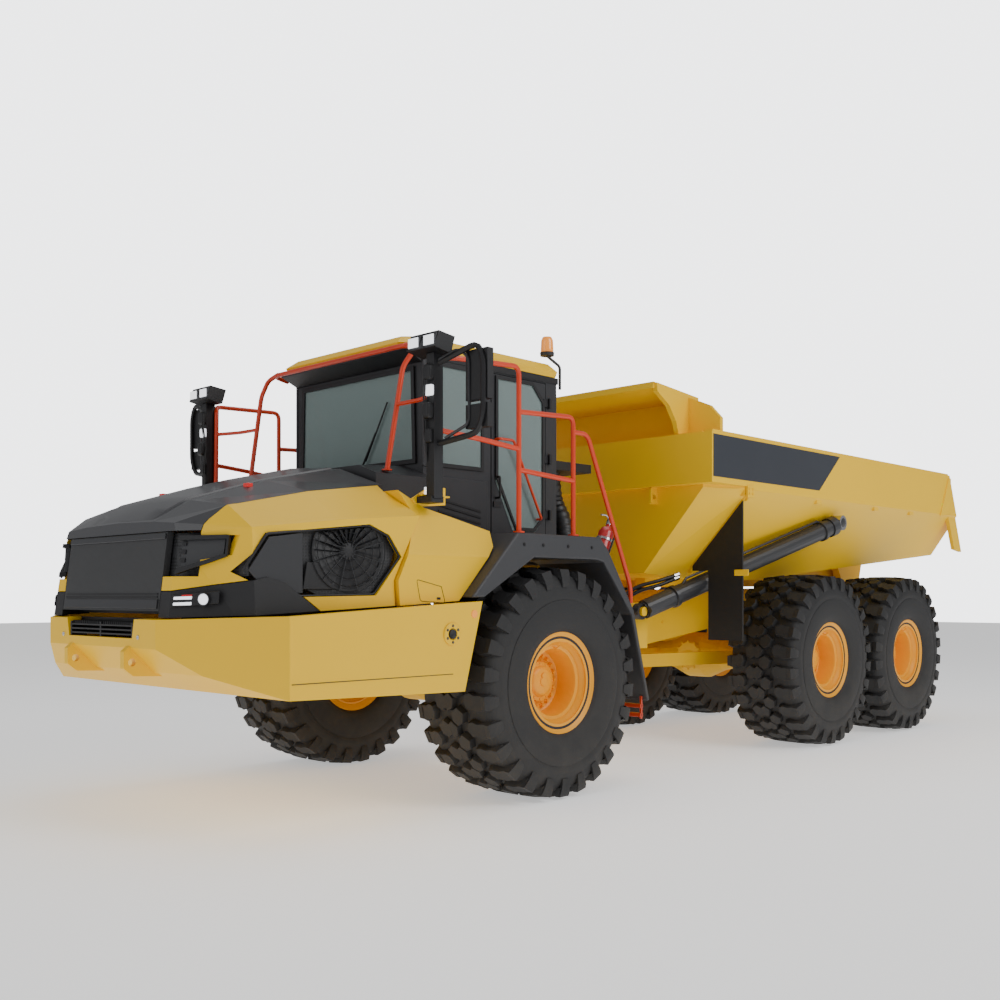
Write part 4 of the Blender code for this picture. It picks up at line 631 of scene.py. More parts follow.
# ---- Wheels --------------------------------------------------------------------------------------
@dataclass
class Wheel:
    """One tyre with its tread, rim, disc and hub."""
    row: int
    side: Side
    radius: float = AXLE_Z
    lugs: int = 26
    centre: np.ndarray = field(init=False)

    def __post_init__(self) -> None:
        """Work out the wheel's middle."""
        self.centre = np.array([AXLES_X[self.row - 1], self.side.value * WHEEL_Y, self.radius])

    @property
    def body(self) -> str:
        """Name of the wheel's body."""
        return f"wheel_{self.row}_{self.side.word}"

    def crown(self, y: Points) -> Points:
        """Outer radius of the tread over its width: it falls by a quartic towards the shoulders."""
        return self.radius - 0.034 * (np.abs(y) / 0.36) ** 4

    def wrapped(self, arc: Points, y: Points, radius: Points) -> Points:
        """Points of the flat tread plan rolled onto the wheel: angle = arc / radius of the wheel."""
        angle = arc / self.radius
        return np.stack([radius * np.sin(angle), y, radius * np.cos(angle)], axis=-1)

    def tread_block(self, outline: list, depth: float = 0.055) -> Shape:
        """A tread block: its plan outline stands on the carcass and is drawn in towards its chamfered top."""
        flat = np.asarray(outline, float)
        middle = flat.mean(axis=0)
        rings = []
        for share, drop in ((1.10, depth), (1.0, 0.012), (0.92, 0.0)):
            ring = middle + (flat - middle) * share
            rings.append(self.wrapped(ring[:, 0], ring[:, 1], self.crown(ring[:, 1]) - drop))
        return grid(np.stack(rings), around=True, caps=True)

    def around(self, shape: Shape, phase: float = 0.0) -> Shape:
        """Copies of a shape about the axle, one for each lug, turned on by phase of a pitch."""
        return turned_copies(shape, self.lugs, phase)

    def tyre(self) -> Shape:
        """Carcass turned from its section, with two shoulder rows and three centre rows of blocks."""
        side = [(0.325, 0.3305), (0.330, 0.372), (0.342, 0.404), (0.362, 0.420), (0.378, 0.446),
                (0.388, 0.500), (0.393, 0.560), (0.3945, 0.640), (0.390, 0.662), (0.386, 0.664),
                (0.3915, 0.690), (0.390, 0.730), (0.384, 0.745), (0.378, 0.780), (0.366, 0.820),
                (0.345, 0.852), (0.310, 0.870), (0.150, 0.877)]
        section = side + [(0.0, 0.879)] + [(-y, r) for y, r in reversed(side)]
        carcass = lathe(section, ORIGIN, steps=104, closed=True)
        shoulder = [(-0.060, 0.372), (-0.066, 0.330), (-0.064, 0.270), (-0.084, 0.225), (-0.070, 0.178),
                    (-0.012, 0.160), (0.048, 0.190), (0.046, 0.240), (0.074, 0.285), (0.068, 0.330),
                    (0.058, 0.372)]
        hexagon = [(-0.078, 0.055), (-0.036, -0.012), (0.040, -0.012), (0.078, 0.040), (0.050, 0.100),
                   (-0.030, 0.122)]
        row = self.tread_block(shoulder)
        middle = self.tread_block([(s, y + 0.030) for s, y in hexagon])
        core = self.tread_block([(s * 0.95, (y - 0.052) * 0.86) for s, y in hexagon])
        tooth = self.tooth()
        half_pitch = 0.5
        left = [self.around(row), self.around(tooth), self.around(middle, half_pitch)]
        right = [self.around(row.mirrored(), half_pitch), self.around(tooth.mirrored(), half_pitch),
                 self.around(middle.mirrored())]
        return joined([carcass, *left, self.around(core), *right])

    def tooth(self) -> Shape:
        """Side face of a shoulder block: a tapering rib from the shoulder down the sidewall."""
        radii = np.array([0.908, 0.880, 0.840, 0.790, 0.762])
        width = np.array([0.058, 0.060, 0.056, 0.048, 0.040])
        out = np.array([0.374, 0.385, 0.3925, 0.3925, 0.386])
        deep = np.array([0.330, 0.330, 0.340, 0.360, 0.372])
        arcs = np.stack([-width, -width * 0.94, width * 0.94, width], axis=1)
        ys = np.stack([deep, out, out, deep], axis=1)
        angle = arcs / self.radius
        rings = np.stack([radii[:, None] * np.sin(angle), ys, radii[:, None] * np.cos(angle)], axis=-1)
        return grid(rings, around=True, caps=True)

    def rim(self) -> Shape:
        """Rim with its lock rings, the deep disc and the hub cap, turned from one profile."""
        lip = 0.345
        profile = [(0.150, 0), (0.150, 0.090), (0.143, 0.112), (0.120, 0.128), (0.112, 0.160),
                   (0.074, 0.165), (0.070, 0.180), (0.070, 0.236), (0.082, 0.252), (0.130, 0.262),
                   (0.250, 0.266), (0.262, 0.272), (0.268, 0.298), (0.285, 0.304), (0.300, 0.322),
                   (0.312, 0.326), (0.318, 0.350), (0.330, 0.372), (0.338, 0.392), (lip, 0.398),
                   (lip + 0.004, 0.405), (lip, 0.411), (lip - 0.016, 0.411), (lip - 0.018, 0.330),
                   (-lip + 0.018, 0.330), (-lip + 0.016, 0.411), (-lip, 0.411), (-lip - 0.004, 0.405),
                   (-lip, 0.396), (-lip + 0.020, 0.340), (-lip + 0.060, 0.296), (0.015, 0.262),
                   (0.035, 0.236), (0.035, 0)]
        return lathe(profile, ORIGIN, steps=96)

    def hardware(self) -> Shape:
        """Wheel nuts, hub bolts, drain plug, hub cover and valve."""
        nuts = bolt_ring((0, 0.070, 0), 0.209, 20, 1, 0.017, 0.026)
        hub = bolt_ring((0, 0.112, 0), 0.143, 12, 1, 0.010, 0.010)
        plug = lathe([(0.150, 0), (0.162, 0), (0.162, 0.022), (0.150, 0.026)], (0, 0, 0.048), steps=12)
        cover = lathe([(0.150, 0), (0.158, 0), (0.158, 0.034), (0.150, 0.040)], ORIGIN, steps=20)
        stem = smooth_path([(0.0, 0.255, 0.285), (0.0, 0.290, 0.275), (0.0, 0.330, 0.300)], 8)
        valve = tube(stem, 0.006, 8)
        return joined([nuts, hub, plug, cover, valve])

    def build(self) -> None:
        """Make tyre, rim and hardware in place of the frame's plain ones."""
        tag = f"{self.row}_{self.side.word}"
        tyre, rim, nuts = (shape.on(self.side).moved(*self.centre)
                           for shape in (self.tyre(), self.rim(), self.hardware()))
        piece(f"treaded_tyre_{tag}", tyre, self.body, P.RUBBER, (f"tyre_{tag}",), angle=42)
        piece(f"turned_rim_{tag}", rim, self.body, P.RIM, (f"rim_{tag}",), angle=40)
        piece(f"wheel_nuts_{tag}", nuts, self.body, P.RIM)


# ---- Dump body -----------------------------------------------------------------------------------
@dataclass
class LoadBed:
    """Trim of the tipping body: stripes, tail plate, corner flanges, lifting eyes and flap brackets."""
    half: float = 1.680
    top: float = 3.170
    band: float = 2.660
    tail: float = -8.051

    def side_y(self, z: Points) -> Points:
        """Outside half width of the slanted side at height z."""
        return 0.880 + (z - 1.800) * 0.930

    def trim(self, side: Side) -> Shape:
        """Top bead, tail plate, rib, flap bracket, pads and slots of one side."""
        y = self.half
        rail = block(-7.56, -2.14, y - 0.075, y - 0.001, self.top - 0.001, self.top + 0.016)
        corners = ((0.252, 2.720), (0.023, 2.200), (0.253, 2.230), (0.482, 2.720))
        tail = [(self.tail + lean, z) for lean, z in corners]
        flange = plate(tail, "Y", y - 0.060, y - 0.016)
        rib = plate([(-7.30, 2.64), (-7.36, 2.64), (-7.62, 2.68), (-7.62, 3.13), (-7.56, 3.13)], "Y",
                    y, y + 0.014)
        bracket = plate([(-2.74, 2.70), (-2.74, 2.585), (-2.86, 2.585), (-2.86, 2.70)], "Y",
                        y - 0.010, y + 0.010)
        pads = joined([block(x, x + 0.10, y - 0.10, y - 0.012, self.band - 0.052, self.band - 0.002)
                       for x in (-4.25, -5.60, -6.55)])
        slots = joined([block(x, x + 0.085, y + 0.0003, y + 0.002, self.band + 0.020, self.band + 0.032)
                        for x in (-5.0, -5.25, -5.9, -6.15, -6.9)])
        return joined([rail, flange, rib, bracket, pads, slots]).on(side)

    def front_lugs(self) -> Shape:
        """Lifting eyes under the front band, each with a round hole in its plate."""
        a = np.linspace(0, math.tau, 25)[:-1]
        inner = np.stack([0.026 * np.cos(a), 0.026 * np.sin(a)], axis=1)
        outer = np.column_stack([np.clip(0.085 * np.cos(a), -0.055, 0.055),
                                 np.clip(0.100 * np.sin(a), -0.075, 0.095)])
        loops = [(outer, -0.014), (inner, -0.014), (inner, 0.014), (outer, 0.014)]
        sections = np.stack([np.stack([flat[:, 0], np.full(len(a), y), flat[:, 1]], -1) for flat, y in loops])
        eye = grid(sections, around=True, along=True)
        return spread(eye, np.array([(-2.205, 0.95, 2.60), (-2.205, -0.95, 2.60)]))

    def build(self) -> None:
        """Make the body's trim."""
        paint(P.YELLOW, "dump_body")
        paint(P.FLAP, "mud_flap_left", "mud_flap_right")
        for side in Side:
            word = side.word
            stripe = plate([(-2.150, 3.145), (-4.640, 3.145), (-4.180, 2.745), (-2.150, 2.745)], "Y",
                           self.half + 0.0002, self.half + 0.0015).on(side)
            piece(f"bed_stripe_{word}", stripe, "dump_body", P.DECAL)
            piece(f"bed_trim_{word}", self.trim(side), "dump_body", P.YELLOW, bevel=0.004)
            film = block(-7.46, -7.36, self.half + 0.0005, self.half + 0.002, 2.70, 2.80).on(side)
            piece(f"bed_reflector_{word}", film, "dump_body", P.NEON)
            heads = [(x, 1.692, z) for x in (-2.77, -2.83) for z in (2.62, 2.665)]
            piece(f"flap_bolts_{word}", bolts(heads, (0, 1, 0), 0.010, 0.008).on(side), "dump_body", P.YELLOW)
            hinge = plate([(-2.7595, 1.530), (-2.7595, 1.690), (-2.7480, 1.690), (-2.7480, 1.530)], "Z",
                          1.820, 1.880)
            piece(f"flap_arm_{word}", hinge.on(side), "dump_body", P.YELLOW, bevel=0.004)
            piece(f"corner_flange_{word}", self.corner_flange().on(side), "dump_body", P.YELLOW, bevel=0.003)
        piece("bed_lifting_eyes", self.front_lugs(), "dump_body", P.YELLOW, bevel=0.003)

    def corner_flange(self) -> Shape:
        """Seam bead with tabs down the slanted corner between front plate and side."""
        z = np.linspace(2.60, 1.90, 6)
        y = self.side_y(z)
        places = np.stack([np.full(6, -2.812), y + 0.010, z], axis=1)
        tab = block(-0.012, 0.012, -0.035, 0.012, -0.045, 0.045)
        line = np.stack([np.full(6, -2.800), y + 0.004, z], axis=1)
        return spread(tab, places) + tube(line, 0.012, 8)


# ---- Engine bay ----------------------------------------------------------------------------------
@dataclass
class EngineBay:
    """Hood, side panels, fan openings, intake pods and headlamps."""
    slope: float = -0.1395                     # how the side panel's y changes with x near the fan opening
    outward: tuple = (0.838, 0.546, 0.0)       # normal of the front corner facet
    fan_x: float = 1.950
    fan_z: float = 1.930
    blades: int = 23

    def panel_y(self, x: float | Points, inset: float) -> float | Points:
        """Half width of the side panel's outside at station x, set in by inset."""
        return 1.503 + (x - 1.600) * self.slope - inset

    def on_panel(self, shape: Shape, x: float, z: float, inset: float) -> Shape:
        """A shape drawn about its own middle, y outwards, laid parallel to the side panel at x, z."""
        a = math.atan(self.slope)
        c, s = math.cos(a), math.sin(a)
        return shape.mapped(np.array([[c, -s, 0], [s, c, 0], [0, 0, 1]])).moved(x, self.panel_y(x, inset), z)

    def on_slope(self, outline: list, thick: float, inset: float) -> Shape:
        """A plate of (x, z) on the side panel, set in by inset: its y follows panel_y."""
        flat = plate(outline, "Y", 0, thick)
        points = flat.points.copy()
        points[:, 1] += self.panel_y(points[:, 0], inset)
        return Shape(points, flat.faces)

    def shrouded(self, shape: Shape) -> Shape:
        """The shape held inside the opening: heights are clipped to its upper and lower edges."""
        points = shape.points.copy()
        top = 2.035 + (2.570 - points[:, 0]) * 0.1104 - 0.022
        points[:, 2] = np.clip(points[:, 2], 1.640, top)
        return Shape(points, shape.faces)

    def fan(self) -> Shape:
        """Cooling fan: hub, ring and leaned blades; blade width grows with radius."""
        ring = lathe([(0.0, 0.262), (0.012, 0.262), (0.012, 0.278), (0.0, 0.278)], ORIGIN, steps=72,
                     closed=True)
        hub = lathe([(0.0, 0), (0.0, 0.060), (0.014, 0.060), (0.020, 0.048), (0.020, 0.0)], ORIGIN,
                    steps=32)
        r = np.linspace(0.055, 0.268, 5)[:, None]
        w = np.array([-1.0, 1.0])[None, :] * (0.008 + 0.050 * (r / 0.268))
        top = np.stack([w * 0.8 + 0 * r, 0.006 + 0.010 * np.sign(w) + 0 * r, r + 0 * w], axis=-1)
        blade = grid(np.concatenate([top, (top - np.array([0, 0.003, 0]))[:, ::-1]], axis=1), around=True,
                     caps=True)
        return joined([ring, hub, turned_copies(blade, self.blades)])

    def guard(self) -> Shape:
        """Wire guard over the fan: rings and crossing spokes."""
        wires = [lathe([(0.022, r - 0.0025), (0.027, r), (0.022, r + 0.0025)], ORIGIN, steps=56, closed=True)
                 for r in (0.070, 0.130, 0.190, 0.245, 0.288)]
        for t in np.arange(12) * math.tau / 12:
            inner = (0.04 * math.sin(t), 0.024, 0.04 * math.cos(t))
            outer = (0.29 * math.sin(t + 0.25), 0.024, 0.29 * math.cos(t + 0.25))
            wires.append(tube(np.array([inner, outer]), 0.003, 6))
        return joined(wires)

    def frame_line(self, outline: list, inset: float, radius: float) -> Shape:
        """A bead that follows an outline of (x, z) on the side panel."""
        corners = [(x, self.panel_y(x, inset), z) for x, z in outline[-1:] + outline + outline[:1]]
        return tube(bent_path(corners, 0.02)[1:-1], radius, 8)

    def build(self) -> None:
        """Make the bay's pieces and dress its panels."""
        paint(P.YELLOW, "side_panel_left", "side_panel_right", "scuttle")
        paint(P.HOOD, "hood_top")
        paint(P.NET, "hood_liner")
        paint(P.PLASTIC, "lamp_bar")
        paint(P.GRILLE, "front_grille")
        paint(P.IRON, "engine_block")
        for side in Side:
            self.build_side(side)
        self.build_front()

    def build_side(self, side: Side) -> None:
        """Fan, opening's plates and bead, pod, lamps and hatch of one side."""
        word = side.word
        fan = self.shrouded(self.on_panel(self.fan(), self.fan_x, self.fan_z, 0.052))
        piece(f"cooling_fan_{word}", fan.on(side), "hood", P.PLASTIC, angle=30)
        guard = self.shrouded(self.on_panel(self.guard(), self.fan_x, self.fan_z, 0.050))
        piece(f"fan_guard_{word}", guard.on(side), "hood", P.CHARCOAL)
        corners = [(2.690, 1.790), (2.545, 2.010), (2.300, 2.045), (2.300, 1.640), (2.555, 1.640)]
        blank = self.on_slope(corners, 0.012, 0.046)
        piece(f"bay_blank_{word}", blank.on(side), "hood", P.CHARCOAL, bevel=0.004)
        recess = self.on_slope([(2.300, 1.665), (2.060, 1.665), (2.175, 1.850), (2.270, 1.850)], 0.016, 0.050)
        piece(f"bay_recess_{word}", recess.on(side), "hood", P.PLASTIC, bevel=0.006)
        hexagon = [(2.735, 1.782), (2.566, 2.030), (1.800, 2.114), (1.646, 2.045), (1.548, 1.900),
                   (1.764, 1.632), (2.556, 1.617)]
        piece(f"bay_bead_{word}", self.frame_line(hexagon, 0.026, 0.009).on(side), "hood", P.PLASTIC)
        self.build_pod(side)
        self.build_lamps(side)
        hatch = [(1.190, 1.690), (1.430, 1.740), (1.395, 1.585), (1.150, 1.570)]
        line = np.array([(x, 1.5358, z) for x, z in hatch + hatch[:1]])
        piece(f"service_hatch_{word}", tube(bent_path(line.tolist(), 0.02), 0.0022, 6).on(side),
              "front_frame", P.PLASTIC)
        latch = block(1.20, 1.235, 1.5352, 1.540, 1.595, 1.612)
        piece(f"hatch_latch_{word}", latch.on(side), "front_frame", P.PLASTIC, bevel=0.003)

    def grille_x(self, z: float) -> float:
        """Station of the leaning grille's face at height z."""
        return 2.990 - 0.130 * (z - 1.520)

    def corner(self, share: float, z: float, out: float) -> Points:
        """A point of the slanted front corner facet: share runs from its rear edge to its front one."""
        rear, front = np.array([2.660, 1.355]), np.array([self.grille_x(z), 0.850])
        flat = rear + (front - rear) * share
        return np.array([*(flat + np.array(self.outward[:2]) * out), z])

    def facet(self, corners: list, low: float, high: float) -> Shape:
        """A plate on the corner facet: corners of (share, z), from low to high out of its surface."""
        rings = [[self.corner(s, z, out) for s, z in corners] for out in (low, high)]
        return grid(np.array(rings), around=True, caps=True)

    def build_pod(self, side: Side) -> None:
        """Dark intake pod over the lamps with its frame, inner panel and slots."""
        word = side.word
        inner = self.facet([(0.40, 2.000), (0.96, 1.995), (0.96, 1.800), (0.42, 1.885)], -0.058, -0.030)
        piece(f"pod_panel_{word}", inner.on(side), "hood", P.CHARCOAL, bevel=0.005)
        ridge = self.facet([(0.36, 1.900), (0.36, 1.878), (0.985, 1.765), (0.985, 1.800)], -0.050, 0.004)
        upper = self.facet([(0.36, 2.022), (0.36, 1.996), (0.985, 1.990), (0.985, 2.022)], -0.050, 0.003)
        rear = self.facet([(0.335, 2.020), (0.365, 2.020), (0.385, 1.885), (0.350, 1.885)], -0.050, 0.003)
        piece(f"pod_frame_{word}", joined([ridge, upper, rear]).on(side), "hood", P.PLASTIC, bevel=0.004)
        slots = joined([self.facet([(0.90, z), (0.955, z), (0.955, z + 0.028), (0.90, z + 0.028)],
                                   -0.031, -0.022) for z in (1.845, 1.900, 1.955)])
        piece(f"pod_slots_{word}", slots.on(side), "hood", P.PLASTIC)

    def build_lamps(self, side: Side) -> None:
        """Two light bars, a marker bar and a round lamp in a bezel on the housing under the pod."""
        word = side.word
        bezel = self.facet([(0.42, 1.572), (0.42, 1.655), (0.985, 1.628), (0.985, 1.545)], 0.0005, 0.010)
        piece(f"lamp_bezel_{word}", bezel.on(side), "front_frame", P.PLASTIC, bevel=0.006)
        for name, z in (("upper", 1.600), ("lower", 1.562)):
            bar_shape = self.facet([(0.74, z), (0.74, z + 0.020), (0.955, z + 0.015), (0.955, z - 0.003)],
                                   0.008, 0.016)
            piece(f"light_bar_{name}_{word}", bar_shape.on(side), "front_frame", P.WHITE, bevel=0.003)
        marker = self.facet([(0.74, 1.624), (0.74, 1.630), (0.86, 1.628), (0.86, 1.622)], 0.008, 0.015)
        piece(f"marker_bar_{word}", marker.on(side), "front_frame", P.TAIL)
        lens = lathe([(0.0, 0.0), (0.0, 0.030), (-0.006, 0.036), (-0.016, 0.036), (-0.016, 0)], ORIGIN,
                     "Z", 28)
        ring = lathe([(-0.016, 0.036), (0.002, 0.038), (0.002, 0.046), (-0.016, 0.046)], ORIGIN, "Z", 28,
                     closed=True)
        turn = facing(self.outward)
        place = self.corner(0.60, 1.600, 0.022)
        piece(f"round_lamp_{word}", lens.mapped(turn).moved(*place).on(side), "front_frame", P.WHITE)
        piece(f"round_lamp_ring_{word}", ring.mapped(turn).moved(*place).on(side), "front_frame", P.PLASTIC)

    def crown(self) -> Shape:
        """Raised middle of the hood, a sheet that follows its top: height = ridge - fall * |y| / half."""
        stations = np.array([(1.430, 2.641, 0.040, 0.615), (2.050, 2.500, 0.030, 0.580),
                             (2.660, 2.310, 0.020, 0.560), (2.909, 2.140, 0.010, 0.500)])
        x = np.linspace(1.430, 2.890, 24)
        ridge, fall, half = (np.interp(x, stations[:, 0], stations[:, k])[:, None] for k in (1, 2, 3))
        share = np.array([-0.90, -0.87, -0.5, 0.0, 0.5, 0.87, 0.90])[None, :]
        lift = np.array([0.0005, 0.013, 0.013, 0.013, 0.013, 0.013, 0.0005])[None, :]
        front = np.where(x > 2.88, 0.05, 1.0)[:, None]
        top = np.stack([x[:, None] + 0 * share, half * share, ridge - fall * np.abs(share) + lift * front],
                       axis=-1)
        low = top.copy()
        low[..., 2] = ridge - fall * np.abs(share) + 0.0004
        return grid(np.concatenate([top, low[:, ::-1]], axis=1), around=True, caps=True)

    def build_front(self) -> None:
        """Grille lip, band and lines, the hood's raised middle and its two catches."""
        def slab(z0: float, z1: float, out0: float, out1: float, half: float) -> Shape:
            """A band on the leaning grille between two heights."""
            x0, x1 = self.grille_x(z0), self.grille_x(z1)
            return plate([(x0 + out0, z0), (x0 + out1, z0), (x1 + out1, z1), (x1 + out0, z1)], "Y",
                         -half, half)
        piece("grille_lip", slab(2.005, 2.044, 0.0005, 0.012, 0.700), "grille", P.CHARCOAL, bevel=0.005)
        piece("grille_band", slab(1.535, 1.600, 0.0005, 0.010, 0.690), "grille", P.CHARCOAL, bevel=0.004)
        mesh_band = joined([slab(1.612 + 0.020 * k, 1.620 + 0.020 * k, 0.0005, 0.006, 0.680)
                            for k in range(2)])
        piece("grille_lines", mesh_band, "grille", P.PLASTIC)
        catches = joined([block(2.20, 2.245, s * 0.60 - 0.030, s * 0.60 + 0.030, 2.405, 2.436)
                          for s in (1, -1)])
        piece("hood_crown", self.crown(), "hood", P.HOOD, angle=25)
        # The catches take the glowing tail-lamp finish: their glow (emission 0.4) is a painted glow, as they
        # hold no lamp.
        piece("hood_catches", catches, "hood", P.TAIL, bevel=0.004)


# ---- Front frame details -------------------------------------------------------------------------
@dataclass
class Bumper:
    """Trim of the bumper and front frame: step mesh, sensors, filler ports, reflectors and seams."""
    front: float = 3.054

    def step(self) -> Shape:
        """Toothed mesh step in the notch: slats with rows of upright teeth."""
        slats = [block(2.935, 3.045, -0.455, 0.455, z, z + 0.012) for z in (1.352, 1.382, 1.412)]
        teeth = 31
        teeth_y = np.linspace(-0.440, 0.440, teeth)
        tooth = plate([(-0.008, 0.0), (0.008, 0.0), (0.003, 0.022), (-0.003, 0.022)], "X", -0.006, 0.006)
        rows = [spread(tooth, np.column_stack([np.full(teeth, x), teeth_y, np.full(teeth, 1.424)]))
                for x in (2.95, 2.99, 3.03)]
        ends = [block(2.930, 3.046, y - 0.010, y + 0.010, 1.336, 1.440) for y in (-0.455, 0.0, 0.455)]
        return joined(slats + rows + ends)

    def build(self) -> None:
        """Make the trim and dress the bumper."""
        paint(P.YELLOW, "front_bumper")
        piece("step_mesh", self.step(), "front_frame", P.PLASTIC, bevel=0.0015)
        back = plate([(-0.50, 1.345), (0.50, 1.345), (0.53, 1.470), (-0.53, 1.470)], "X", 2.925, 2.932)
        piece("step_backing", back, "front_frame", P.PLASTIC)
        for side in Side:
            word = side.word
            sensor = lathe([(0.0, 0), (0.0, 0.016), (0.004, 0.016), (0.007, 0.012), (0.007, 0)],
                           (self.front + 0.0003, 0.555, 1.343), "X", 20)
            piece(f"bumper_sensor_{word}", sensor.on(side), "front_frame", P.STEEL)
            port_place = (1.171, 1.6286, 1.345)
            port = lathe([(0, 0.040), (0.010, 0.044), (0.012, 0.076), (0.008, 0.082), (0, 0.084)],
                         port_place, "Y", 32)
            inner = lathe([(0.0, 0), (0.004, 0), (0.010, 0.020), (0.014, 0.034), (0.0, 0.036)], port_place,
                          "Y", 24)
            piece(f"port_flange_{word}", port.on(side), "front_frame", P.YELLOW)
            piece(f"port_cap_{word}", inner.on(side), "front_frame", P.PLASTIC)
            heads = bolt_ring((1.171, 1.6400, 1.345), 0.060, 6, 1, 0.008, 0.006)
            piece(f"port_bolts_{word}", heads.on(side), "front_frame", P.IRON)
            disc = lathe([(0, 0), (0.006, 0), (0.006, 0.028), (0, 0.030)], (0.946, 1.6316, 1.488), "Y", 24)
            # The reflector takes the glowing amber lens finish: its glow (emission 0.5) is a painted glint,
            # as it holds no lamp.
            piece(f"side_reflector_{word}", disc.on(side), "front_frame", P.AMBER)
            seam = tube(np.array([(1.16, 1.6284, 1.054), (2.56, 1.6122, 1.054)]), 0.003, 6)
            piece(f"belly_seam_{word}", seam.on(side), "front_frame", P.PLASTIC)


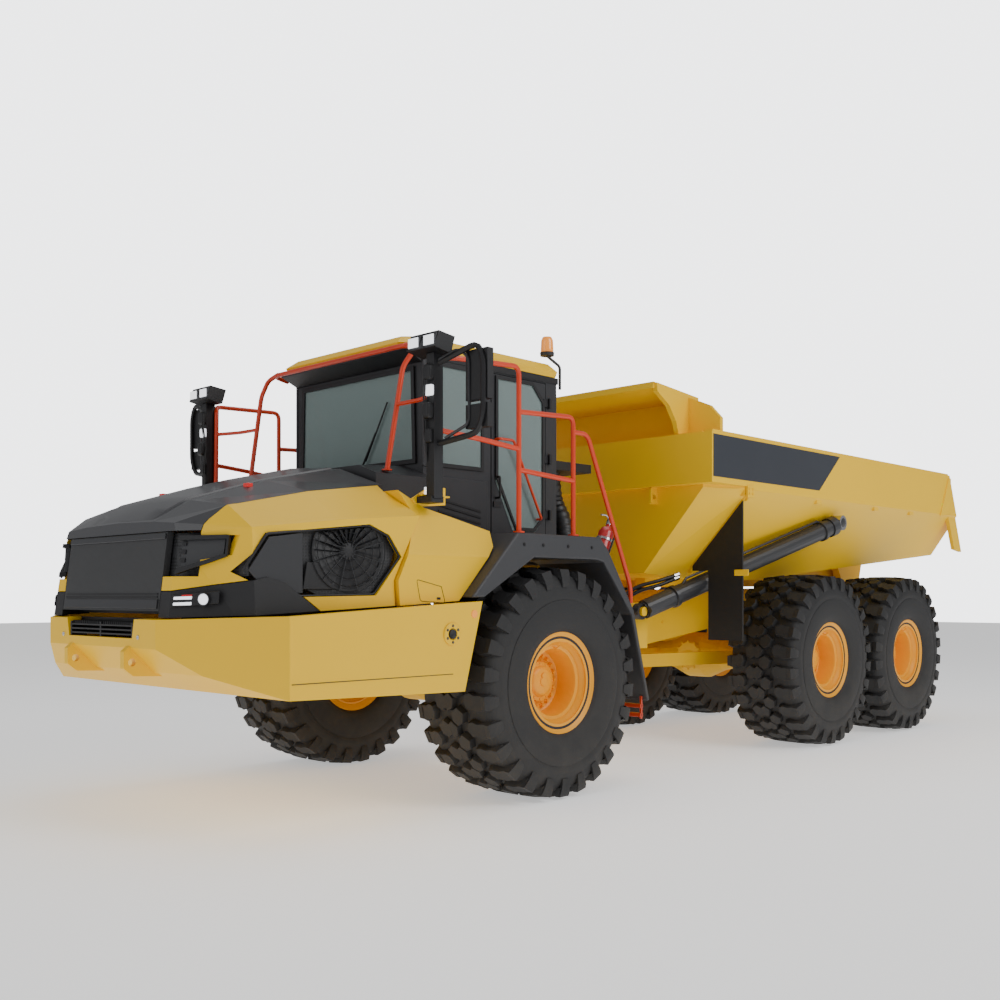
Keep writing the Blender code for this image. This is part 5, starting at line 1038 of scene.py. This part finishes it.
@dataclass
class Cab:
    """Glass, seals, trim, wiper and the inside of the cab."""
    front: float = 0.750
    half: float = 0.850
    floor: float = 1.960

    def border(self, outline: list, axis: str, level: float, width: float, thick: float) -> Shape:
        """A flat frame round an outline: the ring between it and the same shape drawn in by width."""
        flat = np.asarray(outline, float)
        middle = flat.mean(axis=0)
        size = np.abs(flat - middle).max(axis=0)
        inner = middle + (flat - middle) * (1 - width / size)
        loops = np.stack([flat, inner, inner, flat])
        levels = np.array([level, level, level + thick, level + thick])[:, None]
        levels = np.broadcast_to(levels, loops.shape[:2])
        order = {"X": (levels, loops[..., 0], loops[..., 1]),
                 "Y": (loops[..., 0], levels, loops[..., 1])}[axis]
        return grid(np.stack(order, axis=-1), around=True, along=True)

    def seals(self) -> Shape:
        """Rubber borders on windshield, rear window and side windows."""
        shield = [(-0.775, 2.690), (0.775, 2.690), (0.752, 3.480), (-0.752, 3.480)]
        side = [(0.070, 2.670), (0.690, 2.670), (0.672, 3.520), (0.070, 3.520)]
        pane = [(-0.700, 2.172), (-0.276, 2.172), (-0.056, 2.592), (0.690, 2.662), (0.690, 3.528),
                (-0.560, 3.528), (-0.700, 3.376)]
        rear = [(-0.63, 2.92), (0.63, 2.92), (0.63, 3.47), (-0.63, 3.47)]
        return joined([self.border(shield, "X", self.front + 0.0085, 0.038, 0.010),
                       self.border(rear, "X", -0.8875, 0.030, 0.009),
                       self.border(side, "Y", self.half + 0.0075, 0.032, 0.008),
                       self.border(pane, "Y", self.half + 0.0075, 0.034, 0.008).mirrored()])

    def seat(self) -> None:
        """Suspension seat: base, cushion, backrest, headrest and armrests."""
        z = self.floor
        base = joined([lathe([(0, 0), (0, 0.20), (0.30, 0.16), (0.30, 0)], (-0.11, 0, z + 0.03), "Z", 32),
                       block(-0.34, 0.12, -0.22, 0.22, z + 0.30, z + 0.345)])
        piece("seat_base", base, "front_frame", P.CABIN, bevel=0.006)
        for name, centre, size, lean in (("seat_cushion", (-0.10, 0, z + 0.405), (0.56, 0.54, 0.13), 0.05),
                                         ("seat_back", (-0.415, 0, z + 0.76), (0.13, 0.50, 0.66), -0.14),
                                         ("headrest", (-0.470, 0, z + 1.19), (0.10, 0.27, 0.20), -0.12)):
            made = piece(name, cushion(centre, size, 4.5, lean, 0.012), "front_frame", P.CLOTH, angle=60)
        arms = joined([cushion((-0.17, s * 0.315, z + 0.62), (0.34, 0.075, 0.055), 4) for s in (1, -1)])
        piece("armrests", arms, "front_frame", P.CABIN)

    def fittings(self) -> None:
        """Floor mat, dashboard, column, console, screen, gear lever and pedals."""
        z = self.floor
        mat = block(-0.78, 0.66, -0.76, 0.76, z + 0.0005, z + 0.012)
        piece("floor_mat", mat, "front_frame", P.CABIN, replaces=("cab_interior",), bevel=0.003)
        u = np.linspace(0, 1, 9)
        dash = np.stack([0.650 - 0.20 * np.sin(u * 2.6), z + 0.38 + 0.40 * u], axis=1).tolist()
        shape = plate([(0.685, z + 0.02), (0.60, z + 0.02), (0.60, z + 0.36)] + dash + [(0.685, z + 0.78)],
                      "Y", -0.62, 0.62)
        piece("dashboard", shape, "front_frame", P.CABIN, bevel=0.012)
        column = tube(smooth_path([(0.52, 0, z + 0.40), (0.42, 0, z + 0.62), (0.352, 0, z + 0.776)], 10),
                      0.040, 20)
        piece("steering_column", column, "front_frame", P.CABIN)
        console = cushion((-0.03, -0.50, z + 0.30), (0.56, 0.20, 0.56), 8)
        piece("side_console", console, "front_frame", P.CABIN)
        screen = block(0.40, 0.425, -0.50, -0.24, z + 0.82, z + 1.00)
        piece("dash_screen", screen, "front_frame", P.PLASTIC, bevel=0.008)
        stick = tube(smooth_path([(0.02, -0.50, z + 0.56), (0.03, -0.50, z + 0.66),
                                  (0.05, -0.49, z + 0.73)], 8), 0.013, 12)
        knob = cushion((0.052, -0.488, z + 0.745), (0.05, 0.05, 0.06), 2.4)
        piece("gear_lever", stick + knob, "front_frame", P.PLASTIC)
        pedals = joined([block(0.50, 0.52, y, y + 0.09, z + 0.06, z + 0.20) for y in (-0.20, 0.06)])
        piece("pedals", pedals, "front_frame", P.IRON, bevel=0.004)

    def outside(self) -> None:
        """Roof seal, visor, tint band, wiper, side scoop with its fins, and front pillars."""
        piece("roof_seal", self.roof_band(), "front_frame", P.PLASTIC)
        visor = plate([(0.758, 3.500), (0.930, 3.575), (0.935, 3.5895), (0.758, 3.5895)], "Y", -0.845, 0.845)
        piece("sun_visor", visor, "front_frame", P.PLASTIC, bevel=0.006)
        tint = plate([(-0.722, 3.300), (0.722, 3.300), (0.716, 3.446), (-0.716, 3.446)], "X",
                     self.front - 0.012, self.front - 0.010)
        piece("tint_band", tint, "front_frame", P.TINT)
        arm = tube(np.array([(0.790, 0.10, 2.665), (0.786, 0.30, 2.98)]), 0.008, 8)
        blade = tube(np.array([(0.778, 0.16, 2.755), (0.778, 0.44, 3.22)]), 0.007, 8)
        pivot = lathe([(0, 0), (0, 0.024), (0.030, 0.020), (0.030, 0)], (0.775, 0.10, 2.650), "X", 16)
        piece("wiper", joined([arm, blade, pivot]), "front_frame", P.PLASTIC)
        scoop = plate([(0.03, 2.160), (0.70, 2.280), (0.70, 2.560), (0.60, 2.590), (0.03, 2.590)], "Y",
                      self.half + 0.0005, self.half + 0.016)
        piece("side_scoop", scoop, "front_frame", P.CHARCOAL, bevel=0.006)
        fins = joined([plate([(0.12, z), (0.60, z + 0.080), (0.60, z + 0.100), (0.12, z + 0.020)], "Y",
                             self.half + 0.015, self.half + 0.024) for z in (2.22, 2.27, 2.32)])
        piece("scoop_fins", fins, "front_frame", P.PLASTIC, bevel=0.002)
        post = joined([block(0.700, 0.760, s * self.half - 0.012, s * self.half + 0.012, 2.66, 3.56)
                       for s in (1, -1)])
        piece("front_pillars", post, "front_frame", P.CHARCOAL, bevel=0.010)

    def roof_band(self) -> Shape:
        """Black seal between cab and roof, a thin closed band under the roof's edge."""
        x0, x1, y = -0.885, 0.765, 0.858
        outline = np.array([(x0, y), (x0, -y), (x1, -y), (x1, y)])
        inner = np.array([(x0 + 0.008, y - 0.008), (x0 + 0.008, -y + 0.008), (x1 - 0.008, -y + 0.008),
                          (x1 - 0.008, y - 0.008)])
        rings = [(outline, 3.535), (outline, 3.588), (inner, 3.588), (inner, 3.535)]
        return grid(np.stack([np.column_stack([flat, np.full(4, z)]) for flat, z in rings]), around=True,
                    along=True)

    def door(self) -> None:
        """Door seal, handle, grab rail and hinges."""
        pane = [(-0.322, 2.192), (-0.568, 2.192), (-0.688, 2.306), (-0.688, 3.362), (-0.548, 3.508),
                (-0.072, 3.508), (-0.072, 2.640)]
        piece("door_seal", self.border(pane, "Y", self.half + 0.0075, 0.030, 0.009), "cab_door", P.PLASTIC,
              bevel=0.002)
        grip = tube(bent_path([(-0.085, 0.852, 2.640), (-0.085, 0.900, 2.640), (-0.085, 0.900, 2.460),
                               (-0.085, 0.852, 2.460)], 0.020), 0.010, 10)
        lock = block(-0.140, -0.050, 0.8505, 0.862, 2.380, 2.430)
        piece("door_handle", joined([grip, lock]), "cab_door", P.PLASTIC)
        rail = tube(bent_path([(-0.075, 0.854, 2.960), (-0.075, 0.912, 2.960), (-0.240, 0.912, 2.960),
                               (-0.600, 0.912, 2.300), (-0.600, 0.854, 2.300)], 0.022), 0.012, 10)
        piece("door_grab_rail", rail, "cab_door", P.ORANGE)
        hinges = joined([drum(0, 0.09, 0.017, (-0.760, 0.870, z), 16)
                         + block(-0.748, -0.690, 0.8503, 0.862, z + 0.01, z + 0.08)
                         for z in (2.30, 2.80, 3.30)])
        piece("door_hinges", hinges, "cab_door", P.PLASTIC, bevel=0.001)

    def build(self) -> None:
        """Make every cab piece and dress its nodes."""
        paint(P.CHARCOAL, "cab_frame", "cab_door")
        paint(P.YELLOW, "cab_roof")
        paint(P.GLASS, "windshield", "rear_window", "side_window_left", "side_window_right", "door_window")
        paint(P.PLASTIC, "steering_wheel", "air_intake")
        piece("window_seals", self.seals(), "front_frame", P.PLASTIC, bevel=0.002)
        self.seat()
        self.fittings()
        self.outside()
        self.door()


@dataclass
class Deck:
    """Fenders' deck plates, rails, mirrors, lamps, extinguisher and steps."""
    top: float = 2.110

    def extinguisher(self) -> None:
        """Fire bottle with its head, hose, bracket and two clamps on the left fender's rear slope."""
        turn, foot = facing((-0.42, 0, 0.91)), (-0.785, 1.38, 1.860)
        profile = [(0.0, 0), (0.0, 0.060), (0.012, 0.070), (0.34, 0.070), (0.38, 0.055), (0.40, 0.026),
                   (0.43, 0.024), (0.43, 0)]
        bottle = lathe(profile, ORIGIN, "Z", 28).mapped(turn).moved(*foot)
        piece("fire_bottle", bottle, "front_frame", P.RED)
        rings = joined([lathe([(z, 0.071), (z + 0.022, 0.071), (z + 0.022, 0.076), (z, 0.076)], ORIGIN,
                              "Z", 28, closed=True) for z in (0.08, 0.26)]).mapped(turn).moved(*foot)
        piece("bottle_clamps", rings, "front_frame", P.STEEL)
        head = drum(0.42, 0.47, 0.028, ORIGIN, 16).mapped(turn).moved(*foot)
        lever = tube(smooth_path([(-0.97, 1.38, 2.290), (-0.93, 1.38, 2.325), (-0.86, 1.38, 2.330)], 8),
                     0.008, 8)
        piece("bottle_head", joined([head, lever]), "front_frame", P.STEEL)
        hose = tube(smooth_path([(-0.970, 1.40, 2.270), (-0.950, 1.47, 2.200), (-0.890, 1.475, 2.080),
                                 (-0.840, 1.46, 1.960)], 20), 0.009, 8)
        piece("bottle_hose", hose, "front_frame", P.HOSE)
        strap = block(-0.93, -0.77, 1.36, 1.40, 1.84, 1.865)
        piece("bottle_bracket", strap, "front_frame", P.PLASTIC)

    def mirrors(self, side: Side) -> None:
        """Glass, work lamps, marker lamp, modules, cables and link of one mirror post."""
        word = side.word
        glass = joined([block(1.093, 1.0985, 1.775, 1.965, 3.035, 3.365),
                        block(1.093, 1.0985, 1.775, 1.965, 2.832, 2.978)])
        piece(f"mirror_glass_{word}", glass.on(side), "front_frame", P.MIRROR)
        lens = [block(1.365, 1.372, 1.375, 1.480, 3.420, 3.490),
                block(1.365, 1.372, 1.540, 1.645, 3.420, 3.490)]
        shells = [plate([(1.20, 3.405), (1.366, 3.415), (1.350, 3.505), (1.180, 3.490)], "Y", y, y + 0.120)
                  for y in (1.368, 1.532)]
        piece(f"work_lamps_{word}", joined(shells).on(side), "front_frame", P.CHARCOAL, bevel=0.008)
        piece(f"work_lenses_{word}", joined(lens).on(side), "front_frame", P.WHITE, bevel=0.002)
        lamp = cushion((1.305, 1.530, 3.110), (0.030, 0.080, 0.080), 6)
        piece(f"marker_lamp_{word}", lamp.on(side), "front_frame", P.WHITE)
        modules = joined([cushion((1.315, 1.530, 2.960), (0.070, 0.075, 0.120), 4),
                          cushion((1.310, 1.530, 3.240), (0.060, 0.080, 0.110), 5),
                          cushion((1.305, 1.530, 2.780), (0.040, 0.060, 0.100), 6)])
        piece(f"post_modules_{word}", modules.on(side), "front_frame", P.PLASTIC)
        cable = [tube(smooth_path([(1.28, 1.50 + 0.02 * k, 3.36), (1.325, 1.49 + 0.02 * k, 3.16),
                                   (1.305, 1.475 + 0.02 * k, 2.98), (1.315, 1.49 + 0.015 * k, 2.80),
                                   (1.297, 1.50, 2.60)], 30), 0.006, 6) for k in range(2)]
        piece(f"post_cables_{word}", joined(cable).on(side), "front_frame", P.HOSE)
        link = tube(bent_path([(1.25, 1.57, 3.330), (1.20, 1.72, 3.400), (1.165, 1.80, 3.330),
                               (1.160, 1.80, 2.860), (1.23, 1.62, 2.760)], 0.05), 0.012, 10)
        piece(f"mirror_link_{word}", link.on(side), "front_frame", P.CHARCOAL)

    def rails(self) -> None:
        """Orange rails as fine round tubes in the place of the frame's plain ones."""
        visor = [(0.810, 0.910, 3.560), (0.970, 0.910, 3.590), (0.970, -0.910, 3.590), (0.810, -0.910, 3.560)]
        parts = [tube(bent_path(visor, 0.08), 0.020)]
        for s in (1, -1):
            parts.append(tube(bent_path([(1.200, s * 0.935, 2.583), (1.060, s * 0.960, 3.400),
                                         (0.960, s * 1.000, 3.560), (0.950, s * 0.860, 3.600)], 0.05),
                              0.020))
            parts.append(tube(bent_path([(1.110, s * 0.950, 3.100), (1.120, s * 1.22, 3.100),
                                         (1.205, s * 1.475, 3.100)], 0.05), 0.016))
            parts.append(drum(0, 0.010, 0.040, (1.200, s * 0.935, 2.5835), 20))
        piece("visor_rail", joined(parts), "front_frame", P.ORANGE, replaces=("front_rail",), angle=50)
        y, z = 1.600, self.top + 0.001
        runs = [[(0.430, y, z), (0.430, y, 3.400), (1.140, y - 0.040, 3.370), (1.205, 1.462, 3.330),
                 (1.215, 1.462, 2.400)],
                [(0.430, y, 3.050), (-0.220, y, 3.080), (-0.220, y, z)],
                [(-0.220, y, 2.960), (-0.400, y, 2.960), (-0.985, y, 1.700), (-0.985, y, 1.560)],
                [(0.430, y, 2.600), (-0.220, y, 2.560)],
                [(0.430, y, 2.760), (0.80, y - 0.03, 2.800), (1.205, y - 0.060, 2.830)]]
        for side in Side:
            tubes = [tube(bent_path(run, 0.07), 0.020) for run in runs]
            feet = [drum(0, 0.012, 0.045, (x, y, z), 20) for x in (0.430, -0.220)]
            piece(f"deck_rail_{side.word}", joined(tubes + feet).on(side), "front_frame", P.ORANGE,
                  replaces=(f"side_rail_{side.word}",), angle=50)

    def plates(self, side: Side) -> None:
        """Anti-slip deck plate of raised studs, fender bolts and access step."""
        word = side.word
        sheet = block(-0.50, 0.46, 0.93, 1.56, self.top + 0.0005, self.top + 0.004)
        x, y = np.meshgrid(np.arange(-0.47, 0.44, 0.055), np.arange(0.96, 1.55, 0.055), indexing="ij")
        stud = lathe([(0, 0.016), (0.005, 0.012), (0.006, 0)], ORIGIN, "Z", 8)
        places = np.column_stack([x.ravel(), y.ravel(), np.full(x.size, self.top + 0.004)])
        piece(f"deck_plate_{word}", (sheet + spread(stud, places)).on(side), "front_frame", P.FENDER)
        heads = [(x, 1.6503, 2.020) for x in (-0.40, -0.10, 0.20, 0.42)]
        piece(f"fender_bolts_{word}", bolts(heads, (0, 1, 0), 0.011, 0.008).on(side), "front_frame",
              P.PLASTIC)
        steps = [block(-1.168, -1.128, 1.16, 1.60, z, z + 0.035) for z in (0.640, 0.560)]
        sides = [block(-1.160, -1.140, y, y + 0.020, 0.545, 0.745) for y in (1.16, 1.58)]
        piece(f"access_step_{word}", joined(steps + sides).on(side), "front_frame", P.ORANGE, bevel=0.004)

    def signals(self, side: Side) -> None:
        """Yellow bracket with its twin lamp at the mirror post."""
        word = side.word
        bracket = plate([(1.02, 2.300), (1.30, 2.275), (1.36, 2.330), (1.18, 2.430), (1.02, 2.430)], "Y",
                        1.385, 1.400)
        shelf = plate([(1.04, 1.395), (1.28, 1.395), (1.33, 1.47), (1.04, 1.47)], "Z", 2.350, 2.362)
        piece(f"lamp_bracket_{word}", joined([bracket, shelf]).on(side), "front_frame", P.YELLOW, bevel=0.004)
        lamp = joined([block(1.10, 1.24, 1.402, 1.460, z, z + 0.026) for z in (2.366, 2.396)])
        piece(f"twin_lamp_{word}", lamp.on(side), "front_frame", P.WHITE, bevel=0.004)

    def build(self) -> None:
        """Make every deck piece and dress the nodes."""
        paint(P.FENDER, "fender_left", "fender_right")
        paint(P.PLASTIC, "mirror_left", "mirror_right")
        paint(P.AMBER, "beacon")
        self.rails()
        for side in Side:
            self.mirrors(side)
            self.plates(side)
            self.signals(side)
        self.extinguisher()
        x, y, z = -0.800, 0.800, 3.820
        lens = lathe([(0, 0.056), (0.02, 0.058), (0.11, 0.054), (0.14, 0.040), (0.148, 0)], (x, y, z), "Z",
                     32)
        foot = lathe([(-0.03, 0), (-0.03, 0.062), (0.0, 0.066), (0.0, 0)], (x, y, z), "Z", 32)
        post = tube(bent_path([(-0.975, y, 3.510), (-0.975, y, 3.720), (-0.800, y, 3.790),
                               (-0.800, y, 3.800)], 0.03), 0.013, 12)
        piece("beacon_lens", lens, "front_frame", P.AMBER, replaces=("beacon",))
        piece("beacon_post", joined([foot, post]), "front_frame", P.CHARCOAL)


@dataclass
class Chassis:
    """Frames, axles, hoist cylinders, hoses and the intake duct."""
    foot: tuple = (-2.050, 0.900, 1.470)
    eye: tuple = (-4.750, 1.620, 2.430)

    def cylinders(self, side: Side) -> None:
        """Collars and pipe along one hoist barrel, and the eye of its rod."""
        word = side.word
        start, end = np.array(self.foot), np.array(self.eye)
        way = (end - start) / np.linalg.norm(end - start)
        turn = facing(way)
        collars = joined([lathe([(s, 0.096), (s + 0.006, 0.112), (s + 0.050, 0.112), (s + 0.056, 0.096)],
                                ORIGIN, "Z", 40).mapped(turn).moved(*start) for s in (0.42, 1.10, 2.62)])
        piece(f"barrel_collars_{word}", collars.on(side), f"tip_barrel_{word}", P.CHARCOAL)
        lift = np.array([0.0, 0.02, 0.135])
        line = np.array([start + way * s + lift for s in (0.55, 0.60, 1.6, 2.55, 2.62)])
        line[0] -= lift * 0.35
        line[-1] -= lift * 0.35
        piece(f"barrel_pipe_{word}", tube(line, 0.014, 10).on(side), f"tip_barrel_{word}", P.CHARCOAL)
        ball = lathe([(-0.052, 0), (-0.052, 0.045), (-0.030, 0.074), (0.030, 0.074), (0.050, 0.045),
                      (0.050, 0)], tuple(end), "Y", 32)
        piece(f"rod_eye_{word}", ball.on(side), f"tip_rod_{word}", P.CHARCOAL)

    def hoses(self, side: Side) -> None:
        """Pair of hydraulic hoses that ride on one hoist barrel, from near the frame to its foot."""
        word = side.word
        routes = [[(-2.12, 0.62, 1.56 + 0.05 * k), (-2.25, 0.72, 1.66 + 0.05 * k),
                   (-2.45, 0.86, 1.735 + 0.045 * k), (-2.62, 0.93, 1.80 + 0.03 * k)] for k in range(2)]
        tubes = [tube(smooth_path(route, 30), 0.019, 10) for route in routes]
        piece(f"hoist_hoses_{word}", joined(tubes).on(side), f"tip_barrel_{word}", P.HOSE)
        sleeve = drum(-0.03, 0.03, 0.026, ORIGIN, 8)
        ends = spread(sleeve.mapped(facing((-0.85, 0.32, 0.3))), np.array([route[-1] for route in routes]))
        piece(f"hose_ends_{word}", ends.on(side), f"tip_barrel_{word}", P.STEEL)

    def details(self) -> None:
        """Differential covers, bolts, reflecting film and tail lamps on the frames, and the steering pins."""
        for row, body in ((1, "front_frame"), (2, "rear_frame"), (3, "rear_frame")):
            x = AXLES_X[row - 1]
            dome = lathe([(0.0, 0.0), (0.03, 0.10), (0.03, 0.150), (0.0, 0.175)], (x + 0.235, 0, AXLE_Z),
                         "X", 32)
            heads = [(x + 0.262, y, AXLE_Z + z) for y, z in circle(0.162, 12)]
            cover = dome + bolts(heads, (1, 0, 0), 0.012, 0.010)
            piece(f"differential_cover_{row}", cover, body, P.FRAME)
        for side in Side:
            word = side.word
            heads = [(x, 0.4903, z) for x in (-2.30, -2.45, -3.00, -4.10, -4.90) for z in (1.34, 1.46)]
            piece(f"beam_bolts_{word}", bolts(heads, (0, 1, 0), 0.015, 0.012).on(side), "rear_frame", P.FRAME)
            turn = np.arange(8) * math.tau / 8 + 0.2
            heads = [(-5.421 + 0.13 * math.cos(a), 0.8153, 0.980 + 0.13 * math.sin(a)) for a in turn]
            piece(f"bogie_bolts_{word}", bolts(heads, (0, 1, 0), 0.012, 0.010).on(side), "rear_frame",
                  P.FRAME)
            film = block(-2.42, -2.36, 0.4903, 0.4918, 1.20, 1.30)
            piece(f"frame_film_{word}", film.on(side), "rear_frame", P.NEON)
            lamp = joined([block(-7.205, -7.18, y, y + 0.10, 1.60, 1.68) for y in (0.66, 0.80)])
            bar_plate = block(-7.178, -7.150, 0.50, 0.94, 1.585, 1.70)
            piece(f"tail_lamps_{word}", lamp.on(side), "rear_frame", P.TAIL, bevel=0.006)
            piece(f"lamp_plate_{word}", bar_plate.on(side), "rear_frame", P.PLASTIC, bevel=0.003)
            pin = drum(-0.095, 0.095, 0.020, (-1.460, 0.250, 1.100), 16)
            piece(f"steer_pin_{word}", pin.on(side), "hitch", P.STEEL)

    def duct(self) -> None:
        """Big intake hose behind the cab, its radius waved along it, and the mesh of its housing."""
        samples = 60
        path = smooth_path([(-1.18, 0.500, 2.780), (-1.20, 0.520, 2.520), (-1.19, 0.640, 2.300),
                            (-1.16, 0.700, 2.080), (-1.13, 0.700, 1.880)], samples)
        radius = 0.094 + 0.005 * np.cos(np.arange(samples) * 1.57)
        piece("intake_hose", tube(path, radius, 28), "front_frame", P.HOSE)
        net = plate([(-1.004, 3.405), (-1.000, 3.411), (-1.219, 2.868), (-1.224, 2.862)], "Y", -0.690, 0.190)
        piece("intake_net", net, "front_frame", P.NET)

    def build(self) -> None:
        """Make the chassis pieces and dress the nodes."""
        paint(P.FRAME, "front_chassis", "front_axle", "rear_frame", "rear_axle_1", "rear_axle_2",
              "bogie_beam_left", "bogie_beam_right", "hitch")
        for kind in ("tip", "steer"):
            for side in Side:
                paint(P.CHARCOAL, f"{kind}_barrel_{side.word}")
                paint(P.STEEL, f"{kind}_rod_{side.word}")
        for side in Side:
            self.cylinders(side)
            self.hoses(side)
        self.details()
        self.duct()


# ---- Studio --------------------------------------------------------------------------------------
@dataclass
class Studio:
    """Floor, soft lights, pale surroundings and the camera."""
    eye: tuple = (6.751, 7.507, 1.622)
    look: tuple = (-0.719, -0.695, 0.0)
    lens: float = 40.18
    rise: float = 0.0959

    def floor(self) -> None:
        """A wide pale floor."""
        a = np.linspace(-60, 60, 3)
        x, y = np.meshgrid(a, a, indexing="ij")
        shape = grid(np.stack([x, y, np.full_like(x, -0.0005)], axis=-1))
        mesh = bpy.data.meshes.new("floor")
        mesh.from_pydata(shape.points.tolist(), [], shape.faces[0][:, ::-1].tolist())
        floor = bpy.data.objects.new("floor", mesh)
        bpy.context.scene.collection.objects.link(floor)
        material = bpy.data.materials.new("floor_paper")
        material.use_nodes = True
        graph = Graph(material.node_tree)
        shader = material.node_tree.nodes["Principled BSDF"]
        place = graph.add("TexCoord").outputs["Object"]
        noise = graph.add("TexNoise", {"Vector": place, "Scale": 0.6, "Detail": 2.0}).outputs[0]
        graph.tree.links.new(graph.mix(noise, (0.89, 0.89, 0.89, 1.0), (0.92, 0.92, 0.92, 1.0)),
                             shader.inputs["Base Color"])
        shader.inputs["Roughness"].default_value = 0.75
        shader.inputs["Emission Color"].default_value = (1.0, 1.0, 1.0, 1.0)
        shader.inputs["Emission Strength"].default_value = 0.52
        mesh.materials.append(material)

    def light(self, name: str, place: tuple, target: tuple, size: float, power: float) -> None:
        """A square area light at place that faces target."""
        data = bpy.data.lights.new(name, "AREA")
        data.shape, data.size, data.energy = "SQUARE", size, power
        lamp = bpy.data.objects.new(name, data)
        bpy.context.scene.collection.objects.link(lamp)
        lamp.location = place
        lamp.rotation_euler = (Vector(target) - Vector(place)).to_track_quat("-Z", "Y").to_euler()

    def build(self) -> None:
        """Set up floor, lights, world and camera."""
        self.floor()
        self.light("key", (-1.0, 13.0, 10.0), (0.0, 0.0, 1.5), 8.0, 950)
        self.light("fill", (15.0, -2.0, 8.0), (1.5, 0.0, 1.5), 9.0, 250)
        self.light("top", (0.0, 0.0, 15.0), (0.0, 0.0, 0.0), 12.0, 580)
        world = bpy.data.worlds.new("studio")
        bpy.context.scene.world = world
        world.use_nodes = True
        graph = Graph(world.node_tree)
        shown = graph.add("LightPath").outputs["Is Camera Ray"]
        shader = world.node_tree.nodes["Background"]
        shader.inputs["Color"].default_value = (0.97, 0.98, 1.0, 1.0)
        graph.tree.links.new(graph.math("MULTIPLY_ADD", shown, 3.4, 0.34), shader.inputs["Strength"])
        data = bpy.data.cameras.new("camera")
        data.lens, data.sensor_width, data.shift_y = self.lens, 36.0, self.rise
        data.clip_end = 300
        camera = bpy.data.objects.new("camera", data)
        bpy.context.scene.collection.objects.link(camera)
        camera.location = Vector(self.eye) + Vector(SHIFT.tolist())
        camera.rotation_euler = Vector(self.look).to_track_quat("-Z", "Y").to_euler()
        bpy.context.scene.camera = camera


def main() -> None:
    """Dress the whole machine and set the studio."""
    logging.basicConfig(level=logging.INFO, format="%(name)s: %(message)s")
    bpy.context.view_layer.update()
    Studio().build()
    parts = [Wheel(row, side) for row in (1, 2, 3) for side in Side]
    parts += [LoadBed(), EngineBay(), Bumper(), Cab(), Deck(), Chassis()]
    for part in parts:
        part.build()
        LOG.info("%s dressed", type(part).__name__)


if __name__ == "__main__":
    main()
